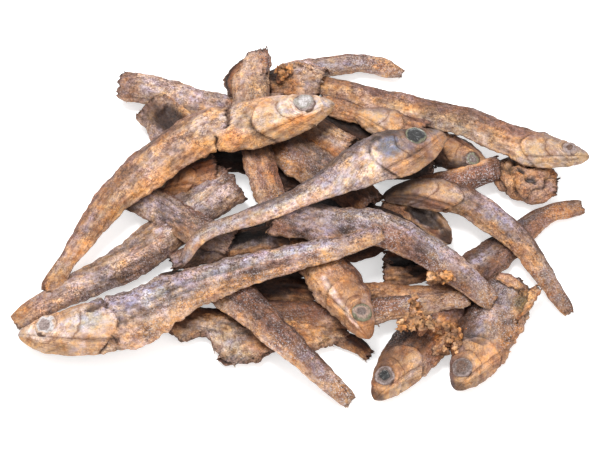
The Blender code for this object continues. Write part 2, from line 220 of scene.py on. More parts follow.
WHOLE_FISH = (
    Piece("whole_fish_front", "whole", 1,
          ((18.2, -45.9), (24.8, -36.8), (32.8, -26.2), (42, -12.4), (52.3, -2.3), (62.4, 6.5),
           (72.4, 9.5)),
          (3.5, 2.2, 1.5), (13.4, 10, 5, 5.5), "mottled", torn=0.2, gill=0.68,
          patches=((0.27, 0.1, 7, 1.5, "rust", 1.0), (0.24, 0.85, 7, 0.5, "umber", 1.0),
           (0.13, 0.35, 4, 0.3, "rust", 0.7), (0.11, -0.4, 6, 0.2, "golden", 0.9),
           (0.12, 0.75, 5, 0.3, "brown", 0.8), (0.01, 0, 1.2, 1.2, "umber", 0.7),
           (0.31, -0.6, 4, 0.6, "orange", 1.0), (0.47, 0.4, 4, 0.4, "slate", 0.9),
           (0.52, -0.2, 4, 0.4, "golden", 0.6), (0.6, 0.1, 5, 0.3, "lilac", 0.7),
           (0.7, 0.2, 6, 0.5, "brown", 0.7), (0.92, -0.2, 5, 0.8, "honey", 0.7))),
    Piece("long_fish_front", "whole", 1,
          ((-69, -28.4), (-59, -29), (-46, -27), (-33, -21.6), (-16, -15.2), (0, -11), (12, -8), (21, -5)),
          (3.5, 10, 13.5), (14.6, 9.5, 6, 5), "lilac", torn=0.1, flaps=((0.33, 7, 3.0),),
          cracks=((0.25, 0.35, 1.0),),
          patches=((0.215, 0.5, 2.6, 0.2, "brown", 0.8), (0.2, 0.05, 3.2, 0.35, "pearl", 0.8),
           (0.16, -0.7, 3, 0.3, "blush", 0.8), (0.29, -0.75, 9, 0.4, "sand", 0.9),
           (0.42, 0.5, 9, 0.35, "lilac", 0.8), (0.38, 0.1, 4, 0.3, "silver", 0.8),
           (0.55, 0.2, 10, 0.22, "slate", 0.8), (0.66, 0.25, 16, 0.26, "silver", 0.8),
           (0.6, -0.75, 14, 0.16, "golden", 0.8), (0.72, -0.35, 12, 0.22, "russet", 0.8),
           (0.93, -0.4, 4, 0.5, "golden", 0.7)),
          dents=((0.215, 0.5, 2.4, 0.17, 0.6), (0.2, 0.05, 3.2, 0.3, -0.3), (0.13, -0.3, 3.5, 0.3, -0.2))),
    Piece("small_fish_right", "whole", 1,
          ((21, 9), (30, 10), (41, 8), (48, 3), (56, -4), (63, -16), (67, -22)), (7, 6.5, 2.5),
          (9.5, 7, 5, 4), "brown", torn=0.2, gill=1.25,
          patches=((0.03, 0.1, 3.5, 1.0, "brown", 0.8), (0.27, 0.0, 5, 0.5, "sand", 0.7),
           (0.5, 0.3, 9, 0.6, "lilac", 0.7), (0.1, -0.7, 6, 0.4, "brown", 0.8),
           (0.72, -0.1, 4, 0.5, "golden", 0.8), (0.97, 0, 4, 1.0, "slate", 0.6))),
    Piece("long_fish_right", "whole", -1,
          ((73.8, 19.8), (62, 21.8), (54, 24.8), (44, 30.2), (31, 34.5), (19, 38.5), (9, 42.5), (4, 45)),
          (8.5, 8, 5), (10, 8, 6.5, 6), "ridge", torn=0.2,
          patches=((0.55, 0.65, 24, 0.3, "russet", 0.8), (0.4, -0.3, 12, 0.3, "golden", 0.6),
           (0.85, -0.2, 8, 0.4, "sand", 0.6))),
    Piece("top_fish", "whole", -1,
          ((37, 23.8), (28, 18.7), (17, 14.1), (3, 5), (-12, -1), (-24, -5), (-29, -12)), (13, 16, 10),
          (15.6, 7.5, 3.5, 3), "silver", torn=0.1, gill=0.79, dents=((0.215, 0.0, 3, 0.35, 0.35),),
          patches=((0.215, 0.05, 3.2, 0.42, "blue", 0.85), (0.24, 0.6, 1.6, 0.2, "umber", 0.9),
           (0.5, 0.92, 24, 0.14, "slate", 1.0), (0.1, 0.75, 6, 0.35, "brown", 0.8),
           (0.2, 0.8, 4, 0.3, "umber", 0.7), (0.12, -0.3, 3, 0.5, "russet", 0.5),
           (0.03, -0.3, 3, 0.6, "honey", 0.7), (0.42, 0.1, 7, 0.35, "lilac", 0.7),
           (0.36, 0.0, 5, 0.4, "ash", 0.6), (0.62, 0.3, 7, 0.4, "slate", 0.7),
           (0.32, -0.1, 7, 0.5, "cream", 0.7), (0.5, -0.6, 14, 0.3, "cream", 0.6),
           (0.8, 0, 10, 0.8, "clay", 0.5)),
          girth=((0.24, 13.6), (0.29, 12.2), (0.35, 11), (0.45, 7.6), (0.54, 5.6), (0.62, 5.1), (0.7, 5),
           (0.82, 4))),
    Piece("long_fish_left", "whole", -1,
          ((9, 31), (-3, 28), (-14, 26), (-24, 25), (-36, 17.3), (-45.3, 9.4), (-54.4, -2.6),
           (-62.7, -16.4)),
          (16, 11.5, 3), (14, 11, 4.4, 6), "gold", torn=0.15, gill=0.88,
          cracks=((0.3, -0.3, 1.0), (0.335, -1.0, -0.6)),
          patches=((0.13, 0.1, 5, 0.45, "cream", 0.7), (0.205, 0.15, 4.5, 0.9, "golden", 0.75),
           (0.12, -0.55, 6, 0.16, "orange", 1.0), (0.26, 0.2, 6, 0.9, "sand", 0.8),
           (0.27, -0.75, 6, 0.25, "orange", 0.8), (0.4, 0.1, 9, 0.5, "cream", 0.5),
           (0.5, 0.75, 14, 0.25, "russet", 0.8), (0.55, -0.1, 12, 0.3, "blush", 0.6),
           (0.66, 0.4, 9, 0.3, "russet", 0.7), (0.72, -0.6, 10, 0.3, "orange", 0.7),
           (0.8, 0.3, 7, 0.4, "lilac", 0.6), (0.9, 0.4, 5, 0.4, "blush", 0.5)),
          dents=((0.14, -0.45, 6, 0.14, -0.25), (0.28, -0.6, 4, 0.3, -0.3))),
)
HALF_FISH = (
    Piece("half_fish_front", "front", 1, ((37.8, -43.5), (43.4, -34.2), (48.4, -24.0), (53.7, -14.2)),
          (4, 3.5), (14.4, 13.6, 11.5), "tornhalf", torn=0.6, gill=0.62,
          patches=((0.5, -0.9, 4, 0.3, "orange", 0.9), (0.86, -0.75, 3, 0.4, "olive", 0.7),
           (0.24, -0.5, 6, 0.22, "golden", 0.9), (0.02, 0.1, 1.2, 1.2, "umber", 0.7),
           (0.62, 0.8, 7, 0.4, "brown", 0.8), (0.7, 0.2, 5, 0.4, "lilac", 0.7)),
          dents=((0.4, 0.3, 1.2, 0.5, 0.5), (0.6, -0.7, 4, 0.3, 0.4))),
    Piece("head_down_half", "front", -1, ((17, -32), (12, -22), (6, -11), (0, 0)), (8.5, 8, 7),
          (12, 11, 9.5), "amber", torn=0.5, gill=0.78,
          patches=((0.2, 0.8, 5, 0.4, "clay", 0.7), (0.65, 0.2, 5, 0.5, "golden", 0.7),
           (0.3, -0.45, 8, 0.14, "cream", 0.8), (0.34, -0.75, 8, 0.16, "golden", 0.8),
           (0.55, 0.7, 4, 0.4, "brown", 0.6))),
    Piece("golden_head", "front", 1, ((-38, 12), (-31, 15), (-21, 18)), (3.5, 6), (9, 9, 8), "dim",
          torn=0.3),
    Piece("head_behind", "front", 1, ((48, 20), (41, 23), (32, 26)), (5, 4), (10, 9.5, 8.5), "brown",
          torn=0.3,
          patches=((0.6, 0.2, 4, 0.6, "honey", 0.6), (0.3, 0.9, 6, 0.3, "umber", 0.8))),
    Piece("head_at_back", "front", 1, ((14, 34), (22, 31), (32, 27)), (7, 7), (9.5, 9.5, 9), "ridge",
          torn=0.3,
          patches=((0.2, -0.5, 4, 0.5, "golden", 0.7), (0.7, 0, 5, 0.6, "honey", 0.7))),
    Piece("gill_piece", "front", 1, ((38, -3), (34, 2), (28, 7), (22, 9)), (4, 4), (9, 9, 8), "crust",
          torn=0.4, dents=((0.45, 0, 5.5, 0.6, 1.5),),
          patches=((0.42, 0, 5, 0.6, "silver", 0.7), (0.5, 0.1, 4, 0.35, "umber", 0.9),
           (0.04, 0, 3, 1.2, "umber", 0.9), (0.3, 0.9, 7, 0.25, "sand", 0.8))),
)
BODIES = (
    Piece("tail_behind_head", "rear", 1, ((-9, -23), (11, -23), (31, -21), (42, -20)), (2.5, 7),
          (8.5, 7, 5, 6), "red", torn=0.3,
          patches=((0.15, 0, 8, 1.2, "rust", 0.8), (0.88, 0, 9, 1.2, "tan", 0.8),
           (0.72, 0.2, 3, 0.4, "silver", 0.5))),
    Piece("dark_strip", "chunk", 1, ((6, -15), (17, -17), (28, -18), (39, -18)), (2.2, 5), (7, 6.5, 4.5),
          "crust", torn=0.2),
    Piece("headless_left", "rear", 1,
          ((-17.3, 15.2), (-27, 7), (-38, -3.6), (-49, -11.2), (-60, -17), (-70.5, -24)), (4.5, 3, 1.3),
          (12, 11, 6.5, 5.5), "pale", torn=0.15,
          patches=((0.5, 0.75, 9, 0.3, "brown", 0.8), (0.3, -0.1, 8, 0.6, "silver", 0.5),
           (0.97, -0.3, 5, 0.8, "honey", 0.8), (0.8, 0, 3, 0.4, "brown", 0.6),
           (0, 0, 2.5, 1.4, "brown", 0.9))),
    Piece("hollow_body", "chunk", 1, ((-38, 38), (-34, 33), (-29, 27), (-23, 22)), (4, 4.5),
          (11.5, 12, 10), "hollow", torn=0.3, dents=((0.4, 0.1, 6, 0.6, 1.3),),
          patches=((0.4, 0.85, 9, 0.2, "sand", 0.8), (0.35, 0.1, 5, 0.5, "brown", 0.6))),
    Piece("body_end", "chunk", 1, ((51, 19), (45, 17), (38, 15), (31, 13)), (5, 3.5), (6.5, 7, 7), "red",
          torn=0.3,
          patches=((0.3, -0.8, 5, 0.4, "golden", 0.7), (0.03, 0, 2.5, 1.2, "brown", 0.8))),
    Piece("salty_body", "chunk", 1, ((-10, 29), (1, 20), (11, 12), (18, 6)), (7, 7), (11, 11, 9), "salty",
          torn=0.4),
    Piece("striped_body", "chunk", 1, ((-5, 32), (4, 28), (13, 23)), (8, 7), (8, 8.5, 7.5), "striped",
          torn=0.3),
    Piece("tail_at_back", "rear", 1, ((-4, 48), (8, 51), (18, 52.3), (27.4, 49.4)), (4, 2),
          (6.5, 6, 5.2, 3.4), "dusky", torn=0.1, patches=((0.92, 0, 6, 1.2, "golden", 0.6),)),
    Piece("broken_body", "chunk", 1, ((-47, 45), (-35, 42), (-25, 38), (-14, 36), (-4, 37)), (4, 5),
          (8, 8.5, 8.5), "pale", torn=0.5,
          patches=((0.04, 0, 4, 1.2, "russet", 0.8), (0.5, 0.2, 7, 0.5, "lilac", 0.7),
           (0.8, 0.3, 6, 0.6, "orange", 0.5))),
    Piece("upright_body", "chunk", 1, ((-10.5, 51.5), (-12.5, 39), (-11, 22), (-7, 8), (-5, 1)), (8, 9, 6),
          (6, 8.5, 6), "ruddy", torn=0.6, girth=((0.08, 8), (0.2, 9.5), (0.5, 8.5)),
          patches=((0.15, 0, 9, 1.2, "sand", 0.7), (0.5, -0.2, 8, 0.6, "tan", 0.6),
           (0.03, 0.5, 2, 0.6, "russet", 0.8))),
    Piece("crossing_body", "chunk", 1, ((-42, 11), (-35, 7), (-26, 0), (-16, -4)), (3.5, 7.5),
          (8.5, 9.5, 7.5), "dusky", torn=0.3,
          patches=((0.15, -0.4, 8, 0.7, "blush", 0.7), (0.8, -0.3, 6, 0.5, "honey", 0.6))),
    Piece("frayed_tail", "rear", 1, ((-19, -16), (-11, -24), (-2, -34), (5.2, -40), (12.8, -46)),
          (6, 9, 2), (10.5, 7.8, 5, 5), "red", torn=0.1,
          patches=((0.35, 0, 9, 0.7, "rust", 0.6), (0.7, 0.1, 7, 0.6, "lilac", 0.6),
           (0.92, 0, 5, 1.2, "tan", 0.7))),
    Piece("long_tail", "rear", 1, ((-6, 1), (7, -2), (21, -3), (32, -9), (41, -16), (48, -22)),
          (12, 10.5, 8), (11, 10, 7, 6), "grey", torn=0.15,
          patches=((0.2, 0, 9, 0.8, "lilac", 0.6), (0.5, -0.15, 7, 0.4, "russet", 0.8),
           (0.42, 0.45, 12, 0.3, "silver", 0.6), (0.12, 0.8, 8, 0.4, "brown", 0.6),
           (0.33, -0.7, 5, 0.3, "golden", 0.8), (0.97, 0, 4, 1.2, "clay", 0.6))),
)
SCRAPS = (
    Piece("torn_belly", "chunk", 1, ((-31, -23), (-20, -26), (-5, -28), (12, -26)), (2.2, 2.2), (8, 12, 7),
          "charred", torn=1.3,
          flaps=((0.09, 3, 1.5), (0.2, 2.5, -2.5), (0.4, 4.5, 2.8), (0.64, 4, -1.8)),
          patches=((0.35, -1.0, 16, 0.08, "umber", 1.0), (0.3, -0.4, 11, 0.6, "cream", 0.7),
           (0.6, -0.3, 8, 0.6, "orange", 0.8))),
    Piece("curled_piece", "chunk", 1, ((21, -9), (28, -9), (34, -8)), (2.5, 2.5), (9, 10.5, 7), "crust",
          torn=0.5,
          patches=((0.4, 0.1, 5, 0.3, "umber", 0.9), (0.3, -0.8, 6, 0.4, "golden", 0.8)),
          dents=((0.4, 0.1, 4.5, 0.22, 1.2), (0.7, -0.5, 3, 0.2, 0.8))),
    Piece("broken_head", "lump", 1, ((65.6, 14.2), (59, 16), (51, 19)), (3.5, 3.5), (9.5, 12, 11), "crust",
          patches=((0.42, 0.35, 1.5, 0.14, "umber", 1.0), (0.62, 0.05, 1.2, 0.1, "umber", 1.0),
           (0.2, 0.6, 4, 0.5, "ash", 0.6)),
          dents=((0.42, 0.35, 1.5, 0.14, 1.0), (0.62, 0.05, 1.2, 0.1, 0.8), (0.5, -0.4, 1.6, 0.15, 0.8))),
    Piece("red_strip", "chunk", 1, ((-9.3, 52.5), (-9, 49), (-9.4, 45)), (9, 9), (2.2, 2.4, 2), "red",
          torn=0.1),
    Piece("front_scrap", "chunk", 1, ((9, -28), (14, -30), (17, -33)), (1.5, 1.2), (4, 4.5, 3), "dark",
          torn=0.4),
    Piece("flake_strip", "chunk", 1, ((10, -5), (16, -4), (23, -1)), (2, 2.5), (4, 4.5, 3), "dark",
          torn=0.4),
    Piece("sunk_piece", "chunk", 1, ((-14, -14), (-6, -15), (4, -16)), (2.2, 2.2), (6, 8, 7), "dark",
          torn=0.4),
    Piece("golden_wedge", "chunk", 1, ((5, 38), (12, 35.5), (20, 33)), (6, 6), (5, 6, 5), "amber",
          torn=0.2),
    Piece("olive_flake", "flake", 1, ((48.5, -14), (52, -15.5), (55, -17.5)), (7.5, 7), (2, 3.2, 2),
          "gold", torn=0.9),
    Piece("side_flap", "flake", 1, ((51, -24), (55, -20), (59.5, -16)), (5, 4.5), (7, 5.5, 2), "ribbed",
          torn=0.8),
    Piece("belly_flap", "flake", -1, ((-50, -29), (-42, -28), (-34.5, -26)), (6, 7), (6, 6, 4), "ribbed",
          torn=0.5),
    Piece("charred_flap", "flake", 1, ((-19.5, -33.5), (-15, -34), (-9, -32.5)), (1.4, 1.4), (2, 2.6, 2),
          "burnt", torn=1),
    Piece("lacy_edge", "flake", 1, ((-13.8, 49.5), (-16.5, 46.5), (-18, 43), (-17, 39)), (8, 8), (2, 3, 2),
          "burnt", torn=1),
    Piece("crumbled_front", "chunk", 1, ((-8, 43.5), (-1, 45.5), (6, 44)), (4.5, 4.5), (8, 12, 10),
          "crumbly", torn=0.8, dents=((0.2, 0.4, 2.5, 0.3, 0.7),),
          patches=((0.22, 0.5, 3, 0.5, "umber", 0.7), (0.75, 0, 5, 1.2, "blush", 0.8),
           (0.4, -0.4, 3, 0.5, "orange", 0.9))),
    Piece("open_belly", "chunk", -1, ((1, -3), (-10, -3.5), (-21, -5), (-32, -8)), (8, 6, 3),
          (6.5, 7.5, 5.5), "dusky", torn=0.8,
          patches=((0.4, 0.1, 7, 0.5, "umber", 1.0), (0.4, -0.8, 7, 0.25, "orange", 0.9))),
)
# Crumbs lie in clumps: (middle, half sizes, how many).
CLUMPS = (
    ((29.0, -28.0, 9.5), (4.4, 2.4, 1.2), 90),
    ((28.0, -23.0, 10.0), (0.8, 2.2, 0.7), 12),
    ((35.5, -15.0, 9.8), (3.0, 1.8, 1.1), 50),
    ((37.5, -30.5, 5.5), (3.4, 3.6, 1.2), 50),
    ((-4.5, 46.0, 8.0), (2.6, 2.2, 0.7), 24),
)
CRUMBS = (
    Piece("flesh_crumb_large", "chunk", 1, ((32, -33), (35, -31), (37, -28)), (4.5, 4.5), (4, 6, 4),
          "flesh", torn=0.8),
    Piece("flesh_crumb_left", "chunk", 1, ((26, -25), (29, -25), (32, -24)), (4, 4.5), (3, 4, 3), "flesh",
          torn=0.6),
    Piece("flesh_crumb_back", "chunk", 1, ((32, -13), (35, -14), (38, -15)), (5, 5), (3, 5, 3), "flesh",
          torn=0.6),
)


class Eye(NamedTuple):
    """A dried eye: its fish, colours and shine, its place on the head, and its radius by the gill depth."""

    fish: str
    pupil: str
    ring: str
    rim: str
    shine: float = 0.1
    towards_back: float = 0.3
    along_head: float = 0.3
    size: float = 0.22


EYES = (
    Eye("whole_fish_front", "black", "slate", "ash", 0.05, 0.3, 0.25, 0.2),
    Eye("half_fish_front", "brown", "slate", "ash", 0.05, 0.3, 0.22, 0.185),
    Eye("golden_head", "brown", "olive", "brown"),
    Eye("head_behind", "slate", "olive", "brown", 0.3),
    Eye("head_down_half", "slate", "clay", "olive", 0.05),
    Eye("long_fish_front", "ash", "silver", "sand"),
    Eye("long_fish_right", "brown", "ash", "clay"),
    Eye("top_fish", "black", "black", "olive", 1.0, 0.36, 0.3, 0.195),
    Eye("long_fish_left", "silver", "pearl", "ash"),
)


def linear(red, green, blue):
    """A colour given as screen values from 0 to 255, as the linear values that Blender keeps."""
    shares = (value / 255 for value in (red, green, blue))
    return tuple(s / 12.92 if s <= 0.04045 else ((s + 0.055) / 1.055) ** 2.4 for s in shares)


def colour_property(name, description, red, green, blue):
    return FloatVectorProperty(
        name=name, description=description, subtype="COLOR", size=3, min=0, max=1,
        default=linear(red, green, blue),
    )


def smooth_step(low, high, value):
    """0 below low, 1 above high, and an S-curve between."""
    share = np.clip((value - low) / (high - low), 0, 1)
    return share * share * (3 - 2 * share)


def bell(value, width):
    """1 where the value is zero, falling off to both sides like a bell of that half width."""
    return np.exp(-((value / width) ** 2))


LATTICE = np.random.default_rng(11).uniform(-1, 1, 8192)


def noise(points, size, seed=0):
    """Value noise from -1 to 1: random values on a lattice of that size, blended by S-curves."""
    scaled = points / size + seed * 17.3
    cell = np.floor(scaled).astype(np.int64)
    share = scaled - cell
    share = share * share * (3 - 2 * share)
    total = np.zeros(points.shape[:-1])
    for corner in range(8):
        step = np.array([corner & 1, corner >> 1 & 1, corner >> 2 & 1])
        key = (cell + step) @ np.array([73856093, 19349663, 83492791])
        weight = np.where(step == 1, share, 1 - share).prod(axis=-1)
        total += weight * LATTICE[key % len(LATTICE)]
    return total


def layered(points, seed, *layers):
    """A sum of noises, each given as its amount, its size and what it adds to the seed."""
    return sum(amount * noise(points, size, seed + shift) for amount, size, shift in layers)


def blend(colour, share, other):
    """The colour, replaced by another one as far as the share says at each point."""
    share = share[..., None]
    return colour * (1 - share) + share * np.array(other)


def named_colours(palette, names, knots, where):
    """The palette's colours of these names at the knots, blended between them."""
    values = np.array([getattr(palette, name) for name in names])
    return np.stack([np.interp(where, knots, values[:, k]) for k in range(3)], axis=-1)


def with_alpha(colour):
    return np.concatenate([colour, np.ones_like(colour[..., :1])], axis=-1)


def middle_line(piece):
    """A Catmull-Rom curve through the route and heights, as close points with their distances along it."""
    share = np.linspace(0, 1, len(piece.route))
    heights = np.interp(share, np.linspace(0, 1, len(piece.heights)), piece.heights)
    knots = np.column_stack([np.array(piece.route, float), heights])
    knots = np.vstack([2 * knots[0] - knots[1], knots, 2 * knots[-1] - knots[-2]])
    place = np.linspace(0, len(piece.route) - 1, 40 * len(piece.route))
    first = np.minimum(place.astype(int), len(piece.route) - 2)
    t = (place - first)[:, None]
    a, b, c, d = (knots[first + k] for k in range(4))
    line = 0.5 * (2 * b + (c - a) * t + (2 * a - 5 * b + 4 * c - d) * t**2 + (3 * b - a - 3 * c + d) * t**3)
    steps = np.linalg.norm(np.diff(line, axis=0), axis=1)
    return line, np.concatenate([[0], np.cumsum(steps)])


def depth_knots(piece, length, head_share):
    """Places along the piece and its depths there, with the head's length and the tail's root."""
    has_head, has_tail = KINDS[piece.kind]
    front, middle, rear = piece.depths[:3]
    head = min(head_share * front, MOST_HEAD * length) if has_head else 0.0
    tail = min(TAIL_TO_ROOT_DEPTH * rear, MOST_TAIL * length) if has_tail else 0.0
    root = length - tail
    places, depths = [0.0], [front]
    if has_head:
        places = [share * head for share in HEAD_STATIONS] + [head + GILL_STEP_LENGTH]
        depths = [share * front for share in HEAD_DEPTHS] + [front * BODY_TO_GILL_DEPTH]
    if piece.girth:
        kept = sum(place < piece.girth[0][0] * length - 0.5 for place in places)
        places, depths = places[:kept], depths[:kept]
    knots = [(share * length, depth) for share, depth in piece.girth] or [((head + root) / 2, middle)]
    places += [place for place, _ in knots] + [root]
    depths += [depth for _, depth in knots] + [rear]
    if has_tail:
        places.append(length)
        depths.append(piece.depths[3])
    return places, depths, head, root


class Shape:
    """One piece's surface on a grid: rows run along it, columns run round it from the back's edge."""

    def __init__(self, piece, settings):
        self.piece = piece
        self.seed = sum(map(ord, piece.name)) % 97
        self.eye = next((eye for eye in EYES if eye.fish == piece.name), None)
        has_head, has_tail = KINDS[piece.kind]
        line, along = middle_line(piece)
        self.length = along[-1]
        knots, depths, self.head, self.root = depth_knots(piece, self.length, settings.head_share)
        place, size, inner = self.rows(settings.grid_step)
        self.place = place[:, None]
        self.inner = np.broadcast_to(inner[:, None], (len(place), settings.columns))
        turn = np.linspace(0, 2 * math.pi, settings.columns, endpoint=False)[None]
        self.across = np.cos(turn)
        self.upward = np.sin(turn)

        def on_line(where):
            return np.column_stack([np.interp(where, along, line[:, k]) for k in range(3)])

        self.middle = on_line(place)
        forward = on_line(place + 0.5) - on_line(place - 0.5)
        forward /= np.linalg.norm(forward, axis=1)[:, None]
        side = np.column_stack([-forward[:, 1], forward[:, 0], 0 * forward[:, 0]]) * piece.back
        side /= np.linalg.norm(side, axis=1)[:, None]
        self.forward, self.side = forward, side
        self.up = np.cross(forward, side) * piece.back
        around = place[:, None] + np.linspace(-DEPTH_REACH, DEPTH_REACH, 9)
        near = np.interp(around, knots, depths).mean(axis=1)
        self.depth = near[:, None] * size[:, None]
        thick = near * settings.thick_share
        if piece.kind == "flake":
            thick = np.full(len(near), FLAKE_THICKNESS)
        if has_tail:
            self.depth = self.depth * (1 - 0.35 * np.exp((place - self.length) / 1.4))[:, None]
            thick += (TAIL_FIN_THICKNESS - thick) * smooth_step(self.root - 1, self.length, place)
        if has_head:
            nose = np.sqrt(np.clip(1 - (1 - np.clip(place / NOSE_LENGTH, 0, 1)) ** 2, 0, 1))
            self.depth = self.depth * nose[:, None]
            thick = thick * nose
        self.thick = thick[:, None] * size[:, None]
        self.gill = self.head * piece.gill
        self.head_share = self.place / self.gill if has_head else np.full_like(self.place, FAR)
        self.relief_size = settings.relief * np.clip(near / FULL_RELIEF_DEPTH, 0.35, 1.1)[:, None]

    def rows(self, step):
        """Where the rows lie along the piece, their sizes, and which of them line a broken end.

        A lump's ends are rounded: the size is the root of 1 minus the square of how near the end is.
        """
        has_head, has_tail = KINDS[self.piece.kind]
        count = max(int(self.length / step), LEAST_ROWS)
        place = np.linspace(0.04 if has_head else 0, self.length - 0.02, count)
        size, inner = np.ones(count), np.zeros(count, bool)
        if self.piece.kind == "lump":
            round_off = min(0.5 * self.piece.depths[1], 0.45 * self.length)
            near_end = np.clip(np.minimum(place, self.length - place) / round_off, 0, 1)
            size = np.maximum(np.sqrt(1 - (1 - near_end) ** 2), 0.5)
        insets, sizes, lining = np.array(CUT_INSETS), np.array(CUT_SIZES), np.ones(len(CUT_SIZES), bool)
        if not has_head:
            place = np.concatenate([insets, place])
            size = np.concatenate([size[0] * sizes, size])
            inner = np.concatenate([lining, inner])
        if not has_tail:
            place = np.concatenate([place, self.length - insets[::-1]])
            size = np.concatenate([size, size[-1] * sizes[::-1]])
            inner = np.concatenate([inner, lining])
        return place, size, inner

    def beyond(self, share):
        """Distance along the piece from the place at that share of its length."""
        return self.place - share * self.length

    def spot(self, share, middle, reach, width):
        """Distance from a place on the skin. 1 is the edge of a spot of that half length and half width."""
        return np.hypot(self.beyond(share) / reach, (self.across - middle) / width)

    def base(self):
        """Middle line, plus the side way by the across share of the depth and the up way by the thickness.

        The height across is SECTION_POWERS' curve, thinner towards the belly. Flakes curl up at both edges.
        """
        thinned = 1 - BELLY_THINNING * np.clip(-self.across, 0, 1)
        flat, full = SECTION_POWERS
        level = np.sign(self.upward) * np.clip(1 - abs(self.across) ** flat, 0, 1) ** full
        curl = (FLAKE_CURL if self.piece.kind == "flake" else 0.0) * self.depth * self.across**2
        return (
            self.middle[:, None]
            + self.side[:, None] * (self.across * self.depth / 2)[..., None]
            + self.up[:, None] * (level * thinned * self.thick / 2 + curl)[..., None]
        )

    def eye_distance(self):
        """Distance from the upper eye's centre, in eye radii."""
        eye = self.eye
        if not eye:
            return FAR + 0 * self.place * self.across
        along = self.place - eye.along_head * self.head
        over = (self.across - eye.towards_back) * self.depth / 2
        return np.where(self.upward > 0, np.hypot(along, over) / (eye.size * self.piece.depths[0]), FAR)

    def outline_shift(self, points):
        """Torn belly edges and flaps move sideways. Cut ends and the tail fin's end move along."""
        piece, seed = self.piece, self.seed
        belly = np.clip((-self.across - 0.35) / 0.65, 0, 1)
        back = np.clip((self.across - 0.5) / 0.5, 0, 1)
        edge = points * [1, 1, 0.3]
        tear = layered(edge, seed, (0.35, 6, 12), (0.08, 1.6, 13))
        tear = tear + piece.torn * layered(edge, seed, (0.6, 2.6, 0), (0.5, 0.7, 1))
        for share, width, reach in piece.flaps:
            ragged = 1 + 0.35 * noise(edge, 1.2, seed + 2)
            tear = tear + reach * ragged * bell(self.beyond(share), width)
        crest = layered(edge, seed, (0.2, 4, 14), (0.08, 1.1, 15))
        points = points + self.side[:, None] * (crest * back - tear * belly)[..., None]
        has_head, has_tail = KINDS[piece.kind]
        ring = np.stack([self.across, self.upward, 0 * self.across], axis=-1) * 3
        jag = layered(ring, seed, (0.9, 1.1, 3), (0.4, 0.4, 4), (0.2, 0.17, 16))
        if piece.kind == "lump":
            jag = 0.2 * jag
        lining = np.where(self.inner, 0.4, 1)
        if not has_head:
            points = points + self.forward[:, None] * (jag * lining * np.exp(-self.place / 2))[..., None]
        fade = lining * np.exp((self.place - self.length) / 2)
        push = -0.7 * jag - 0.4 if has_tail else jag
        return points + self.forward[:, None] * (push * fade)[..., None]

    def gill_edge(self):
        """Distance behind the gill cover's rear edge, which bulges backwards at mid cheek."""
        if not self.head:
            return self.place + FAR + 0 * self.across
        wave = 0.2 * np.sin(5 * self.across + self.seed)
        return (self.head_share - 1 + 0.3 * (self.across + 0.1) ** 2) * self.gill + wave

    def head_relief(self, edge):
        """The gill cover and the cheek swell, with a groove before the cover and the jaw below a ridge."""
        across, share, seed = self.across, self.head_share, self.seed
        where = np.stack(np.broadcast_arrays(self.place, across * self.depth / 2, 0 * across), axis=-1)
        sway = 0.03 * noise(where, 3.0, seed + 40)
        swell = 0.08 * smooth_step(-3.2, -0.2, edge) + 0.1 * smooth_step(0.4, 0.7, share)
        cheek = (share - 0.66 - 0.1 * across + 0.25 * across**2) * self.gill + 9 * sway
        plate = 0.16 * bell(cheek + 0.8, 0.5) - 0.25 * bell(cheek, 0.4)
        swell = swell + plate * smooth_step(0.7, 0.4, across)
        jaw = across + 0.16 + 0.6 * share + 1.6 * sway
        reach = smooth_step(0.0, 0.04, share) * smooth_step(0.98, 0.86, share)
        swell = swell + (0.22 * bell(jaw - 0.14, 0.1) - 0.36 * bell(jaw, 0.08)) * reach
        swell = swell + (0.16 * bell(jaw + 0.16, 0.08) - 0.2 * bell(jaw + 0.34, 0.08)) * reach
        eye = self.eye_distance() + 2 * sway
        swell = swell + 0.22 * bell(eye - 1.25, 0.16) - 0.12 * bell(eye - 1.55, 0.12)
        nostril = np.hypot(self.place - 0.12 * self.head, (across - 0.4) * self.depth / 2)
        return swell - 0.3 * bell(nostril, 0.45) - 0.45 * smooth_step(1.05, 0.8, self.eye_distance())

    def body_relief(self, points, flow, edge):
        """Muscle lines in a V, a sunken side line, a ridge on the back, a belly keel and a breast fin."""
        across, seed = self.across, self.seed
        line = 0.08 + 0.12 * noise(flow, 3.0, seed + 9)
        chevrons = np.sin(2 * math.pi * (self.place / 1.5 + 1.9 * abs(across - line)))
        chevrons = chevrons * (0.4 + 0.6 * noise(points, 4.0, seed + 10))
        chevrons = chevrons * smooth_step(0.95, 0.7, abs(across))
        lift = 0.06 * chevrons - 0.22 * bell(across - line, 0.07) - 0.12 * bell(across - 0.6, 0.06)
        lift = lift - 0.3 * bell(across + 0.35, 0.25) * (0.5 + 0.5 * noise(flow, 1.4, seed + 17))
        lift = lift + 0.25 * smooth_step(0.9, 1, across) + 0.2 * smooth_step(0.9, 1, -across)
        if self.head:
            slit = 0.4 + 0.4 * noise(flow * [0, 1, 1], 0.7, seed + 28) - 0.3 * smooth_step(0.2, 0.8, across)
            lift = lift - slit * bell(edge - 0.25, 0.3)
            wing = abs(across + 0.5 + 0.012 * edge) - 0.06 - 0.022 * np.clip(edge, 0, 8)
            fin = smooth_step(0.05, -0.03, wing) * smooth_step(0, 0.6, edge) * smooth_step(7.5, 6.4, edge)
            lift = lift + fin * (0.2 + 0.05 * np.sin(70 * across))
        return lift

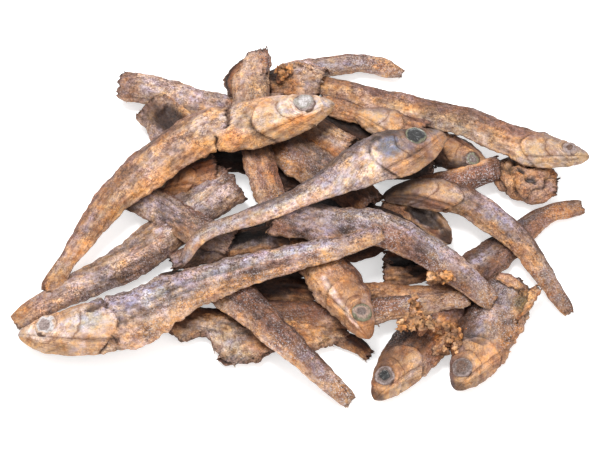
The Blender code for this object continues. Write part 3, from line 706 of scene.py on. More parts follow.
    def relief(self, points):
        """Height added to the skin: dents, creases and wrinkles, then the head or the body, then cracks."""
        across, seed = self.across, self.seed
        flow = np.stack(np.broadcast_arrays(self.place * 0.25, across * 4, seed + 0 * across), axis=-1)
        dents = layered(points, seed, (0.4, 6.0, 0), (0.16, 2.6, 5), (0.1, 1.2, 6), (0.08, 0.6, 7))
        if self.piece.kind == "lump":
            fold, fine = abs(noise(points, 3.6, seed + 33)), abs(noise(points, 1.5, seed + 35))
            dents = dents + 1.1 * smooth_step(0.0, 0.3, fold) + 0.4 * smooth_step(0.0, 0.3, fine) - 0.9
        crease = 1 - abs(noise(points * [1, 1, 0.5], 4.2, seed + 18)) * 9
        creases = -0.22 * np.clip(crease, 0, 1) ** 2 * smooth_step(-0.2, 0.4, noise(points, 7, seed + 19))
        wrinkles = layered(flow, seed, (0.26, 0.5, 8), (0.14, 0.22, 22))
        edge = self.gill_edge()
        body = dents + creases + wrinkles + self.body_relief(points, flow, edge)
        if KINDS[self.piece.kind][1]:
            fin = smooth_step(self.root, self.root + 2, self.place)
            rays = 0.12 * np.sin(2 * math.pi * 8 * across)
            body = body * (1 - fin) + fin * rays
        skin = body
        if self.head:
            on_head = smooth_step(0.2, -0.15, edge)
            head = self.head_relief(edge) + 0.4 * dents + 0.25 * creases
            skin = body * (1 - on_head) + head * on_head
        skin = skin + self.cracks_and_dents(points, flow)
        return skin * self.relief_size * np.where(self.inner, 0.5, 1)

    def cracks_and_dents(self, points, flow):
        """The piece's own cracks, which wander across it, and its own dents on its upper side."""
        across, seed = self.across, self.seed
        total = 0.0
        for share, low, high in self.piece.cracks:
            wander = layered(flow * [0, 1, 1], seed, (1.4, 0.9, 11), (0.9, 0.3, 12))
            within = smooth_step(low - 0.1, low + 0.1, across) * smooth_step(high + 0.1, high - 0.1, across)
            wide = 0.36 + 0.16 * noise(points, 1.0, seed + 36)
            total = total - 1.4 * within * bell(self.beyond(share) - wander, wide)
        for *place, depth in self.piece.dents:
            far = self.spot(*place) + 0.3 * noise(points, 1.5, seed + 37)
            total = total - depth * smooth_step(1.08, 0.85, far) * smooth_step(-0.1, 0.3, self.upward)
        return total

    def rawness(self, relief):
        """How far torn flesh shows instead of skin: at cut ends, in cracks and along torn bellies."""
        has_head, has_tail = KINDS[self.piece.kind]
        raw = np.where(self.inner, 1.0, 0.0)
        if not has_head:
            raw = np.maximum(raw, smooth_step(1.2, 0.2, self.place))
        if not has_tail:
            raw = np.maximum(raw, smooth_step(1.2, 0.2, self.length - self.place))
        for share, _, _ in self.piece.cracks:
            raw = np.maximum(raw, bell(self.beyond(share), 1.6) * smooth_step(-0.2, -0.6, relief))
        belly = smooth_step(0.7, 0.98, -self.across) * min(self.piece.torn, 1)
        return np.maximum(raw, 0.8 * belly)

    def colours(self, points, relief, palette):
        """Bands from the back's ridge to the belly, the head's own bands, patches, and painted shade and
        light by the relief.
        """
        coat = COATS[self.piece.coat]
        seed, across = self.seed, self.across
        band = across + 0.2 * noise(points, 3.5, seed + 20) + 0.12 * noise(points, 1.2, seed + 21)
        body_names = (coat.belly, coat.belly, coat.flank, coat.back, coat.back, coat.ridge)
        head_names = (coat.jaw, coat.jaw, coat.cheek, coat.cheek, coat.crown, coat.crown)
        body = named_colours(palette, body_names, BAND_KNOTS, band)
        head = named_colours(palette, head_names, BAND_KNOTS, band)
        border = self.gill_edge() + 2.2 * noise(points, 3.0, seed + 29)
        colour = blend(body, smooth_step(2.2, -2.6, border), HEAD_SHADE * head)
        if KINDS[self.piece.kind][1]:
            fin = 0.5 * smooth_step(self.root - 2, self.root + 3, self.place)
            colour = blend(colour, fin, palette.caramel)
        for *place, name, strength in self.piece.patches:
            far = self.spot(*place) + layered(points, seed, (0.45, 1.8, 23), (0.25, 0.7, 24))
            colour = blend(colour, strength * smooth_step(1.25, 0.6, far), getattr(palette, name))
        colour = blend(colour, 0.45 * smooth_step(0.9, 0.99, -across) * (self.upward > -0.3), palette.sand)
        if self.head:
            colour = blend(colour, 0.7 * bell(self.place, 1.3) * bell(across + 0.1, 0.6), palette.brown)
        mottle = 1 + layered(points, seed, (0.14, 4.5, 25), (0.12, 1.6, 26), (0.1, 0.7, 27))
        warm = noise(points, 5.5, seed + 30)[..., None] * np.array([0.1, -0.02, -0.12])
        colour = colour * (mottle[..., None] + warm)
        # Painted shade: umber where the relief sinks. Painted light: brighter where it rises.
        colour = blend(colour, np.clip(-relief * 1.3 - 0.06, 0, 0.8), palette.umber)
        return colour * (1 + np.clip(relief * 0.9, 0, 0.3)[..., None])

    def eye_frame(self):
        """The plane that lies best on the cheek round the eye, turned to face up a little more.

        Gives the eye's centre on it, the radius, and the ways forward, to the back and up.
        """
        across = self.eye.towards_back
        row = int(np.argmin(abs(self.place[:, 0] - self.eye.along_head * self.head)))
        flat, full = SECTION_POWERS
        surface = (1 - across**flat) ** full * self.thick[row, 0] / 2
        centre = self.middle[row] + self.side[row] * across * self.depth[row, 0] / 2
        centre = centre + self.up[row] * surface
        patch = self.base()[self.eye_distance() < 1]
        mean = patch.mean(axis=0)
        normal = np.linalg.svd(patch - mean, full_matrices=False)[2][2]
        normal = normal * np.sign(normal @ self.up[row])
        centre = centre - normal * ((centre - mean) @ normal)
        up = normal + [0, 0, EYE_UPTURN]
        up /= np.linalg.norm(up)
        forward = self.forward[row] - up * (self.forward[row] @ up)
        forward /= np.linalg.norm(forward)
        side = self.side[row] - up * (self.side[row] @ up) - forward * (self.side[row] @ forward)
        side /= np.linalg.norm(side)
        return centre, self.eye.size * self.piece.depths[0], forward, side, up


def grid_normals(points):
    """Cross product of the steps along and round the grid, turned to point away from the middle."""
    along = np.gradient(points, axis=0)
    around = np.roll(points, -1, axis=1) - np.roll(points, 1, axis=1)
    normal = np.cross(along, around)
    normal /= np.maximum(np.linalg.norm(normal, axis=-1), 1e-9)[..., None]
    outward = points - points.mean(axis=1, keepdims=True)
    facing = (normal * outward).sum(axis=(1, 2))
    return normal * np.where(facing < 0, -1, 1)[:, None, None]


def grid_faces(rows, columns):
    """Quads between neighbouring rows, wrapping round, and a fan of triangles to a pole at each end."""
    index = np.arange(rows * columns).reshape(rows, columns)
    right = np.roll(index, -1, axis=1)
    quads = np.stack([index[:-1], right[:-1], right[1:], index[1:]], axis=-1).reshape(-1, 4)
    first, last = rows * columns, rows * columns + 1
    start = np.stack([right[0], index[0], np.full(columns, first)], axis=-1)
    end = np.stack([index[-1], right[-1], np.full(columns, last)], axis=-1)
    return quads.tolist() + start.tolist() + end.tolist()


def repeated_faces(rows, columns, start, count):
    """The faces of that many such grids, whose points follow one another from the start."""
    faces = grid_faces(rows, columns)
    quads = (rows - 1) * columns
    parts = np.array(faces[:quads]), np.array(faces[quads:])
    step = rows * columns + 2
    return [face for k in range(count) for part in parts for face in (part + start + step * k).tolist()]


def add_mesh(name, points, faces, material, attributes, flip=False):
    """A smooth mesh object from points in millimetres, with its named attributes on the points.

    One number a point makes a plain attribute, three a vector and four a colour.
    """
    mesh = bpy.data.meshes.new(name)
    mesh.from_pydata((points * MM).tolist(), [], faces)
    for title, values in attributes.items():
        values = np.ascontiguousarray(values, dtype=np.float32).ravel()
        kinds = {1: ("FLOAT", "value"), 3: ("FLOAT_VECTOR", "vector"), 4: ("FLOAT_COLOR", "color")}
        kind, field = kinds[len(values) // len(points)]
        mesh.attributes.new(title, kind, "POINT").data.foreach_set(field, values)
    made = bpy.data.objects.new(name, mesh)
    bpy.context.scene.collection.objects.link(made)
    if flip:
        mesh.flip_normals()
    mesh.shade_smooth()
    mesh.materials.append(material)
    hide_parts(NODE)
    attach(made, BODY)
    return made


def with_poles(grid):
    """A grid's values as one list, with the mean of the first and the last row added at its end."""
    flat = grid.reshape(-1, *grid.shape[2:])
    return np.concatenate([flat, grid[:1].mean(axis=1), grid[-1:].mean(axis=1)])


MAPS = {}


def blurred(field, reach):
    """Mean over a square of that many cells to each side, by running sums along both axes."""
    for axis in (0, 1):
        padded = np.pad(field, [(reach + 1, reach) if k == axis else (0, 0) for k in (0, 1)], mode="edge")
        sums = np.cumsum(padded, axis=axis)
        cells = field.shape[axis]
        near, far = np.arange(cells), np.arange(cells) + 2 * reach + 1
        field = (np.take(sums, far, axis=axis) - np.take(sums, near, axis=axis)) / (2 * reach + 1)
    return field


def heap_tops(settings):
    """Two blurred maps of the heap's top height over the table, from every piece's plain surface."""
    key = (settings.thick_share, settings.head_share, settings.grid_step, settings.columns)
    if key not in MAPS:
        top = np.zeros(MAP_CELLS)
        for piece in HIDDEN + WHOLE_FISH + HALF_FISH + BODIES + SCRAPS + CRUMBS:
            points = Shape(piece, settings).base().reshape(-1, 3)
            cell = ((points[:, :2] - MAP_CORNER) / MAP_STEP).astype(int)
            np.maximum.at(top, (cell[:, 0], cell[:, 1]), points[:, 2])
        MAPS[key] = [blurred(top, reach) for reach in MAP_BLURS]
    return MAPS[key]


def cover(points, settings):
    """How far each point lies below the heap's top near it, from 0 in the open to 1 far down: the painted
    shade's strength.
    """
    cell = ((points[..., :2] - MAP_CORNER) / MAP_STEP).astype(int)
    close, wide = (field[cell[..., 0], cell[..., 1]] - points[..., 2] for field in heap_tops(settings))
    return np.clip(0.65 * smooth_step(1.2, 6.5, close) + 0.55 * smooth_step(-1.2, 4.5, wide), 0, 1)


def fray_spots(shape, points, draw):
    """Grid places where the dry edge splinters, and the way and the reach of each splinter."""
    rows, columns = points.shape[:2]
    has_head, has_tail = KINDS[shape.piece.kind]
    first = 0 if has_head else len(CUT_INSETS)
    last = rows - 2 if has_tail else rows - 1 - len(CUT_INSETS)
    ends = [(last, 1.0, 0.4 if has_tail else 0.9)]
    if not has_head:
        ends.insert(0, (first, -1.0, 1.1))
    chosen = []
    for place, sign, reach in ends:
        around = draw.integers(0, columns, END_SPLINTERS)
        chosen.append((np.full(END_SPLINTERS, place), around, sign, reach))
    tears = int(shape.length * TEARS_TO_LENGTH * min(shape.piece.torn, 1.0))
    edge = columns // 2 + draw.integers(-2, 3, tears)
    chosen.append((draw.integers(first + 6, last - 2, tears), edge, 0.6, 1.1))
    row = np.concatenate([item[0] for item in chosen])
    column = np.concatenate([item[1] for item in chosen])
    sign = np.concatenate([np.full(len(item[0]), item[2]) for item in chosen])
    reach = np.concatenate([np.full(len(item[0]), item[3]) for item in chosen])
    short = shape.piece.kind == "lump" or shape.piece.depths[-1] < 3
    return row, column, sign, reach * draw.uniform(0.3, 1.0, len(row)) * (0.3 if short else 0.8)


def fray_grids(shape, points, normals, draw):
    """Splinters: each is a flat blade, rings of points that bend and narrow to its tip."""
    row, column, sign, reach = fray_spots(shape, points, draw)
    count = len(row)
    base = points[row, column] - normals[row, column] * 0.15
    out = normals[row, column]
    way = shape.forward[row] * sign[:, None] + 0.55 * out + draw.normal(0, 0.3, (count, 3))
    way /= np.linalg.norm(way, axis=1)[:, None]
    flat = np.cross(way, out)
    flat /= np.maximum(np.linalg.norm(flat, axis=1), 1e-6)[:, None]
    thin = np.cross(flat, way)
    step = np.linspace(0, 1, BLADE_RINGS)[None, :, None]
    bend = draw.normal(0, 0.3, (count, 1, 3)) - [0, 0, 0.15]
    middle = base[:, None] + way[:, None] * step * reach[:, None, None] + bend * step**2
    wide = draw.uniform(0.15, 0.5, count)[:, None, None] * (1.02 - step) ** 0.4
    flat, thin = flat[:, None] * wide, thin[:, None] * 0.35 * wide
    return row, column, middle[:, :, None] + np.stack([flat, thin, -flat, -thin], axis=2)


def skin_values(shape, points, relief, painted_shade):
    """What the skin's material reads: where it is raw, spotted, salty and shiny, and places on the fish."""
    coat, seed, across = COATS[shape.piece.coat], shape.seed, shape.across
    round_it = np.arccos(np.clip(across, -1, 1)) / math.pi * shape.depth
    side = np.where(shape.upward >= 0, 0.0, 40.0) + seed * 3.7
    bands = 0.25 + 0.75 * smooth_step(-0.3, 0.5, across + 0.4 * noise(points, 3, seed + 32))
    body = 0.15 + 0.85 * smooth_step(-2.0, 5.0, shape.gill_edge()) if shape.head else 1.0
    patches = 0.3 + 0.7 * smooth_step(-0.3, 0.4, noise(points, 6, seed + 31))
    clear = np.clip(1 - painted_shade, 0, 1)
    return {
        "flow": np.stack(np.broadcast_arrays(shape.place, round_it, side), axis=-1),
        "plan": np.stack(np.broadcast_arrays(shape.head_share, across, shape.gill_edge()), axis=-1),
        "raw": shape.rawness(relief),
        "spots": coat.spots * bands * (0.3 + 0.7 * body) * clear,
        "salt": coat.salt * clear**2 * body * patches,
        "shine": coat.shine + 0.2 * noise(points, 4, seed + 34),
        "fibres": 0.25 + 0.75 * body + 0 * relief,
        "eye": shape.eye_distance(),
    }


def add_piece(context, piece, material):
    """Lays one piece's surface: the base, then its torn outline, then the relief along the normals."""
    settings, palette = context.scene.heap_settings, context.scene.skin_palette
    shape = Shape(piece, settings)
    points = shape.outline_shift(shape.base())
    relief = shape.relief(points)
    normals = grid_normals(points)
    points = points + normals * relief[..., None]
    points[..., 2] = np.maximum(points[..., 2], FLOOR_GAP)
    painted_shade = cover(points, settings)
    colour = shape.colours(points, relief, palette)
    # Painted shade: the colour darkens the further the point lies below the heap's top.
    colour = np.clip(colour * (1 - painted_shade[..., None] * np.array(HOLLOW_SHADE)), 0, 1)
    values = skin_values(shape, points, relief, painted_shade)
    draw = np.random.default_rng(shape.seed + 500)
    row, column, frays = fray_grids(shape, points, normals, draw)
    frays[..., 2] = np.maximum(frays[..., 2], FLOOR_GAP)
    hue = with_alpha(colour[row, column] * draw.uniform(0.6, 1.2, (len(row), 1)))
    skin = with_poles(with_alpha(colour))
    attributes = {"skin": np.concatenate([skin, np.repeat(hue, BLADE_POINTS, axis=0)])}
    for name, value in values.items():
        share = BLADE_MARKS if value.ndim == 2 else 1.0
        ends = np.repeat(value[row, column] * share, BLADE_POINTS, axis=0)
        attributes[name] = np.concatenate([with_poles(value), ends])
    faces = grid_faces(*relief.shape) + repeated_faces(BLADE_RINGS, BLADE_SIDES, len(skin), len(row))
    points = np.concatenate([with_poles(points), *(with_poles(fray) for fray in frays)])
    return add_mesh(piece.name, points, faces, material, attributes, flip=piece.back < 0)


class Value:
    """A shader socket in an expression. Each operator adds a Math node."""

    def __init__(self, graph, socket):
        self.graph = graph
        self.socket = socket

    def math(self, operation, *values):
        return self.graph.node("ShaderNodeMath", {"operation": operation}, dict(enumerate(values)))

    def __add__(self, other):
        return self.math("ADD", self, other)

    __radd__ = __add__

    def __mul__(self, other):
        return self.math("MULTIPLY", self, other)

    __rmul__ = __mul__

    def __sub__(self, other):
        return self.math("SUBTRACT", self, other)

    def __rsub__(self, other):
        return self.math("SUBTRACT", other, self)

    def clamped(self):
        return self.graph.node("ShaderNodeClamp", {}, {0: self})

    def stepped(self, low, high):
        """0 below low, 1 above high, and a smooth step between."""
        sockets = {"Value": self, "From Min": low, "From Max": high}
        return self.graph.node("ShaderNodeMapRange", {"interpolation_type": "SMOOTHSTEP"}, sockets)

    def line(self, width):
        """1 where the value is 0, falling to 0 that far to either side."""
        return self.math("ABSOLUTE", self).stepped(width, 0)


class Graph:
    """A new material's node tree."""

    def __init__(self, name):
        self.material = bpy.data.materials.new(name)
        self.material.use_nodes = True
        self.tree = self.material.node_tree
        self.tree.nodes.clear()

    def node(self, kind, settings, sockets, output=0):
        """Adds a node: first its settings, then its sockets' values or links. Returns one output."""
        made = self.tree.nodes.new(kind)
        for name, value in settings.items():
            setattr(made, name, value)
        for key, value in sockets.items():
            if isinstance(value, Value):
                self.tree.links.new(value.socket, made.inputs[key])
            else:
                made.inputs[key].default_value = value
        return Value(self, made.outputs[output]) if made.outputs else None

    def attribute(self, name, output="Fac"):
        return self.node("ShaderNodeAttribute", {"attribute_name": name}, {}, output)

    def noise(self, vector, scale, detail=3.0, roughness=0.55):
        sockets = {"Vector": vector, "Scale": scale, "Detail": detail, "Roughness": roughness}
        return self.node("ShaderNodeTexNoise", {}, sockets)

    def stretched(self, vector, along, across, third=1.0):
        sockets = {"Vector": vector, "Scale": (along, across, third)}
        return self.node("ShaderNodeMapping", {}, sockets)

    def mix(self, factor, first, second, blend="MIX"):
        settings = {"data_type": "RGBA", "blend_type": blend}
        return self.node("ShaderNodeMix", settings, {0: factor, 6: first, 7: second}, 2)

    def tinted(self, colour, tints):
        """The colour multiplied by each tint in turn, as far as that tint's factor says."""
        for factor, tint in tints:
            colour = self.mix(factor, colour, opaque(tint), "MULTIPLY")
        return colour

    def bump(self, height, strength, distance, normal=None):
        sockets = {"Height": height, "Strength": strength, "Distance": distance}
        if normal:
            sockets["Normal"] = normal
        return self.node("ShaderNodeBump", {}, sockets)

    def finish(self, sockets):
        shader = self.node("ShaderNodeBsdfPrincipled", {}, sockets)
        self.node("ShaderNodeOutputMaterial", {}, {"Surface": shader})
        return self.material


def opaque(colour):
    return (*colour, 1.0)


def head_marks(graph, where, patchy):
    """Groove and ridge lines of a head: a line is drawn where a value made of the places on the head is
    zero.

    The groove lines darken the skin partly as dark seams and partly as painted shade, and the ridge lines
    lighten it as painted highlight.

    The lines are the jaws, the cheek plate, the gill rim, folds and rings round the eye, and noise makes
    them sway. The plan attribute holds the share along the head, the place across and the distance behind
    the gill cover.
    """
    parts = graph.node("ShaderNodeSeparateXYZ", {}, {0: graph.attribute("plan", "Vector")}).socket.node
    share, across, edge = (Value(graph, socket) for socket in parts.outputs)
    sway = graph.noise(where, 320, 3) - 0.5
    within = share.stepped(0.02, 0.08) * share.stepped(1.0, 0.86)
    jaw = across + share * 0.6 + sway * 0.16 + 0.16
    low = jaw - share * 0.1 + 0.26
    eye = graph.attribute("eye") + sway * 0.9
    shaded_grooves = jaw.line(0.04) * 0.9 + low.line(0.03) * 0.7
    lit_ridges = (jaw - 0.075).line(0.04) + (low - 0.055).line(0.03)
    fine = (across - share * 0.1 + sway * 0.3 - 0.66).line(0.035) * share.stepped(0.1, 0.3)
    for gap in (0.11, 0.18, 0.36, 0.44, 0.54):
        fine = fine + (jaw - share * 0.06 + gap).line(0.022) * 0.8
    for ring, width in ((1.12, 0.06), (1.4, 0.05), (1.62, 0.04)):
        fine = fine + (eye - ring).line(width)
    cheek = share - across * 0.1 + across * across * 0.25 + sway * 0.12 - 0.66
    above = jaw.stepped(0, 0.06) * across.stepped(0.6, 0.4)
    shaded_grooves = shaded_grooves * (0.6 + 0.4 * patchy) + cheek.line(0.018) * above + fine * (0.25 + 0.5 * patchy)
    border, rear = edge + sway * 2, share.stepped(0.3, 0.5)
    rim = border.line(0.3) * rear * across.stepped(0.95, 0.7) * (0.3 + 0.7 * patchy)
    lit_ridges = lit_ridges + (eye - 1.26).line(0.08)
    return shaded_grooves * within + rim, lit_ridges * within + (border + 0.6).line(0.4) * rear


def dried_skin_material(palette):
    """Skin that takes its band colours from the mesh and adds tints, streaks, hairlines, spots and salt."""
    graph = Graph("dried skin")
    where = graph.node("ShaderNodeTexCoord", {}, {}, "Object")
    flow = graph.attribute("flow", "Vector")
    raw, spots = graph.attribute("raw"), graph.attribute("spots")
    body = graph.attribute("fibres")
    patchy = graph.noise(where, 260, 2).stepped(0.4, 0.62)
    blotch = graph.noise(where, 420, 4)
    streak = graph.noise(graph.stretched(flow, 0.2, 1.6), 1.0, 5, 0.65)
    fibre = graph.noise(graph.stretched(flow, 0.45, 3.6), 1.0, 3, 0.6)
    strand = graph.noise(graph.stretched(flow, 0.16, 0.8, 1.0), 1.0, 5, 0.62)
    crackle = graph.noise(where, 620, 4, 0.62)
    mottle = graph.noise(graph.stretched(where, 1.0, 1.0, 1.3), 1050, 4, 0.62)
    grain = graph.noise(where, 2500, 2, 0.7)
    fleck = graph.noise(where, 1500, 3, 0.7)
    crystal = graph.noise(where, 2800, 2, 0.6)
    tint = graph.noise(where, 560, 3, 0.62)
    tint_fine = graph.noise(graph.stretched(flow, 0.5, 1.2), 1.0, 3, 0.62)
    wide_tint = graph.noise(where, 190, 2)
    gold, cool = (1.13, 1.0, 0.73), (0.94, 0.97, 1.14)
    # Each is (what varies, where its tint begins and where it is full, how much, the tint).
    variations = (
        (wide_tint, 0.51, 0.62, 0.8 * body, (1.09, 1.0, 0.8)),
        (wide_tint, 0.49, 0.38, 0.8 * body, (0.96, 0.98, 1.1)),
        (streak, 0.5, 0.7, 0.36 * body, (0.66, 0.55, 0.5)),
        (streak, 0.46, 0.3, 0.36 * body, (1.3, 1.28, 1.27)),
        (tint, 0.51, 0.6, 0.8, gold),
        (tint, 0.48, 0.38, 0.8, cool),
        (tint_fine, 0.51, 0.6, 0.55, gold),
        (tint_fine, 0.48, 0.38, 0.55, cool),
        (fibre, 0.52, 0.64, 0.22 * body, (0.5, 0.4, 0.36)),
        (fibre, 0.46, 0.34, 0.22 * body, (1.35, 1.34, 1.34)),
        (blotch, 0.47, 0.66, 0.8, (0.66, 0.52, 0.45)),
        (mottle, 0.52, 0.62, 0.75 * body, (0.55, 0.44, 0.4)),
        (mottle, 0.47, 0.37, 0.6 * body, (1.3, 1.29, 1.28)),
    )
    tints = [(varied.stepped(low, high) * much, tone) for varied, low, high, much, tone in variations]
    colour = graph.tinted(graph.attribute("skin", "Color"), tints)
    hair = (strand - 0.5).line(0.022)
    net = (crackle - 0.5).line(0.02)
    shaded_grooves, lit_ridges = head_marks(graph, where, patchy)
    grainy = (0.25 + 0.6 * patchy) * (0.3 + 0.3 * body + 0.5 * spots)
    colour = graph.tinted(colour, (
        # Painted shade in the head's groove lines, with their dark seams, and painted highlight on its
        # ridge lines.
        (shaded_grooves.clamped() * 0.85, (0.48, 0.33, 0.24)),
        (lit_ridges.clamped() * 0.5, (1.3, 1.26, 1.18)),
        (hair * (0.4 + 0.45 * patchy) * body, (0.34, 0.25, 0.22)),
        (net * (0.3 + 0.6 * patchy) * body, (0.36, 0.27, 0.24)),
        (grain.stepped(0.51, 0.62) * grainy, (0.3, 0.2, 0.16)),
        # Painted glints: the grain's pale specks.
        (grain.stepped(0.47, 0.36) * grainy, (1.6, 1.58, 1.58)),
    ))
    salt = crystal.stepped(0.55, 0.62) * graph.attribute("salt")
    colour = graph.mix(fleck.stepped(0.53, 0.6) * spots * 0.9, colour, opaque(palette.brown))
    colour = graph.mix(fleck.stepped(0.6, 0.66) * spots, colour, opaque(palette.umber))
    colour = graph.mix(salt, colour, opaque((0.66, 0.62, 0.64)))
    flesh = graph.mix(fleck.stepped(0.4, 0.6), opaque(palette.russet), opaque(palette.umber))
    colour = graph.mix((raw * (fleck * 1.1 + 0.45)).clamped() * 0.85, colour, flesh)
    shine = graph.attribute("shine") * streak.stepped(0.5, 0.3)
    roughness = 0.5 - shine * 0.22 + raw * 0.35 + grain * 0.15
    normal = graph.bump(grain, 0.5, 0.0004)
    normal = graph.bump(fleck, 0.5, 0.0005, normal)
    normal = graph.bump(fibre, 0.6, 0.0006, normal)
    normal = graph.bump(hair + net * 0.7 + shaded_grooves - lit_ridges * 0.5, -0.8, 0.0003, normal)
    return graph.finish({
        "Base Color": colour, "Roughness": roughness.clamped(), "Normal": normal, "IOR": 1.42,
        "Coat Weight": (shine * 0.9).clamped(), "Coat Roughness": 0.3,
    })


def eye_material():
    """A dried eye's clouded, speckled film over the colours on its mesh."""
    graph = Graph("dried eye")
    where = graph.node("ShaderNodeTexCoord", {}, {}, "Object")
    cloud = graph.noise(where, 1100, 3)
    fleck = graph.noise(where, 2600, 2, 0.7)
    shine = graph.attribute("shine")
    colour = graph.tinted(graph.attribute("skin", "Color"), (
        (cloud.stepped(0.46, 0.66) * 0.7, (0.45, 0.4, 0.36)),
        (fleck.stepped(0.5, 0.66) * 0.7, (0.3, 0.22, 0.18)),
    ))
    film = fleck.stepped(0.42, 0.3) * (0.3 - shine * 0.28)
    colour = graph.mix(film, colour, opaque((0.44, 0.44, 0.4)))
    normal = graph.bump(cloud, 0.6, 0.0004)
    normal = graph.bump(fleck, 0.4, 0.0002, normal)
    return graph.finish({
        "Base Color": colour, "Roughness": (0.55 - shine * 0.4 + cloud * 0.1).clamped(), "Normal": normal,
        "Coat Weight": (shine * 0.8).clamped(), "Coat Roughness": 0.1,
    })


def skin_material(context):
    return bpy.data.materials.get("dried skin") or dried_skin_material(context.scene.skin_palette)


class HeapSettings(bpy.types.PropertyGroup):
    """Sizes that every fish shares."""

    thick_share: FloatProperty(
        name="Thickness", description="Thickness from cheek to cheek as a share of the depth",
        default=0.54, min=0.3, max=0.8, subtype="FACTOR",
    )
    head_share: FloatProperty(
        name="Head length", description="Head length as a multiple of the depth at the gills",
        default=1.75, min=1.2, max=2.4,
    )
    relief: FloatProperty(
        name="Relief", description="Strength of the dents, wrinkles and plates", default=1.0, min=0, max=2,
    )
    grid_step: FloatProperty(
        name="Grid step", description="Distance between rows of the surface, in millimetres",
        default=0.42, min=0.2, max=3,
    )
    columns: IntProperty(
        name="Columns", description="Points round each fish", default=72, min=16, max=200,
    )


class SkinPalette(bpy.types.PropertyGroup):
    """Colours that the coats are made of."""

    cream: colour_property("Cream", "Palest flanks", 224, 202, 190)
    blush: colour_property("Blush", "Pink-white skin", 210, 182, 168)
    sand: colour_property("Sand", "Pale cheek skin", 206, 174, 148)
    tan: colour_property("Tan", "Plain tan skin", 192, 154, 124)
    golden: colour_property("Golden", "Oily golden skin", 206, 160, 118)
    orange: colour_property("Orange", "Jaw and flesh", 204, 146, 94)
    honey: colour_property("Honey", "Dull gold skin", 182, 138, 102)
    caramel: colour_property("Caramel", "Browned skin", 156, 114, 82)
    lilac: colour_property("Lilac", "Grey-purple flank", 178, 162, 170)
    silver: colour_property("Silver", "Silvery skin", 196, 190, 190)
    ash: colour_property("Ash", "Grey-brown back", 150, 132, 128)
    slate: colour_property("Slate", "Dark grey back", 108, 90, 84)
    clay: colour_property("Clay", "Dull pink-brown skin", 162, 136, 122)
    russet: colour_property("Russet", "Red-brown skin", 140, 104, 88)
    rust: colour_property("Rust", "Dark orange flesh", 124, 78, 48)
    olive: colour_property("Olive", "Green-grey eye ring", 112, 110, 84)
    blue: colour_property("Blue", "Blue-grey sheen on a gill cover", 126, 134, 152)
    brown: colour_property("Brown", "Brown back", 98, 68, 52)
    # Umber is also painted as shade: into hollows of the relief, and over the hidden pieces and the core.
    umber: colour_property("Umber", "Dark hollows", 44, 28, 22)
    black: colour_property("Black", "Dark pupils", 12, 11, 12)
    pearl: colour_property("Pearl", "Clouded eyes", 158, 152, 144)


class StageSettings(bpy.types.PropertyGroup):
    """The camera, the floor and the lights."""

    elevation: FloatProperty(
        name="Elevation", description="Camera angle above the table", default=math.radians(60),
        subtype="ANGLE",
    )
    distance: FloatProperty(
        name="Distance", description="Camera distance from the heap", default=0.56, min=0.1, unit="LENGTH",
    )
    lens: FloatProperty(name="Lens", description="Focal length in millimetres", default=134.4, min=10)
    floor: colour_property("Floor", "White table", 238, 238, 238)
    sky: FloatProperty(name="Sky", description="Strength of the even light", default=0.9, min=0)
    key: FloatProperty(name="Key", description="Power of the large soft light", default=3.3, min=0)


class PieceOperator:
    """Builds every piece of one group with the dried skin."""

    pieces = ()

    def execute(self, context):
        material = skin_material(context)
        for piece in self.pieces:
            add_piece(context, piece, material)
        return {"FINISHED"}


class HEAP_OT_whole_fish(PieceOperator, bpy.types.Operator):
    """Builds the whole fish"""

    bl_idname = "heap.whole_fish"
    bl_label = "Whole Fish"
    pieces = WHOLE_FISH


class HEAP_OT_half_fish(PieceOperator, bpy.types.Operator):
    """Builds the half fish and the loose heads"""

    bl_idname = "heap.half_fish"
    bl_label = "Half Fish and Heads"
    pieces = HALF_FISH


class HEAP_OT_bodies(PieceOperator, bpy.types.Operator):
    """Builds the headless bodies and tails"""

    bl_idname = "heap.bodies"
    bl_label = "Bodies and Tails"
    pieces = BODIES


class HEAP_OT_scraps(PieceOperator, bpy.types.Operator):
    """Builds the torn and broken pieces"""

    bl_idname = "heap.scraps"
    bl_label = "Scraps"
    pieces = SCRAPS


class HEAP_OT_crumbs(PieceOperator, bpy.types.Operator):
    """Builds the crumbs of flesh"""

    bl_idname = "heap.crumbs"
    bl_label = "Crumbs"
    pieces = CRUMBS

    def execute(self, context):
        super().execute(context)
        add_clumps(context)
        return {"FINISHED"}


class HEAP_OT_hidden_fish(PieceOperator, bpy.types.Operator):
    """Builds the plain fish and the low core that carry the rest, most of them dark as painted shade"""

    bl_idname = "heap.hidden_fish"
    bl_label = "Hidden Fish and Core"
    pieces = HIDDEN

    def execute(self, context):
        super().execute(context)
        add_core(context)
        return {"FINISHED"}


class HEAP_OT_eyes(bpy.types.Operator):
    """Builds the dried eyes"""

    bl_idname = "heap.eyes"
    bl_label = "Eyes"

    def execute(self, context):
        add_eyes(context)
        return {"FINISHED"}


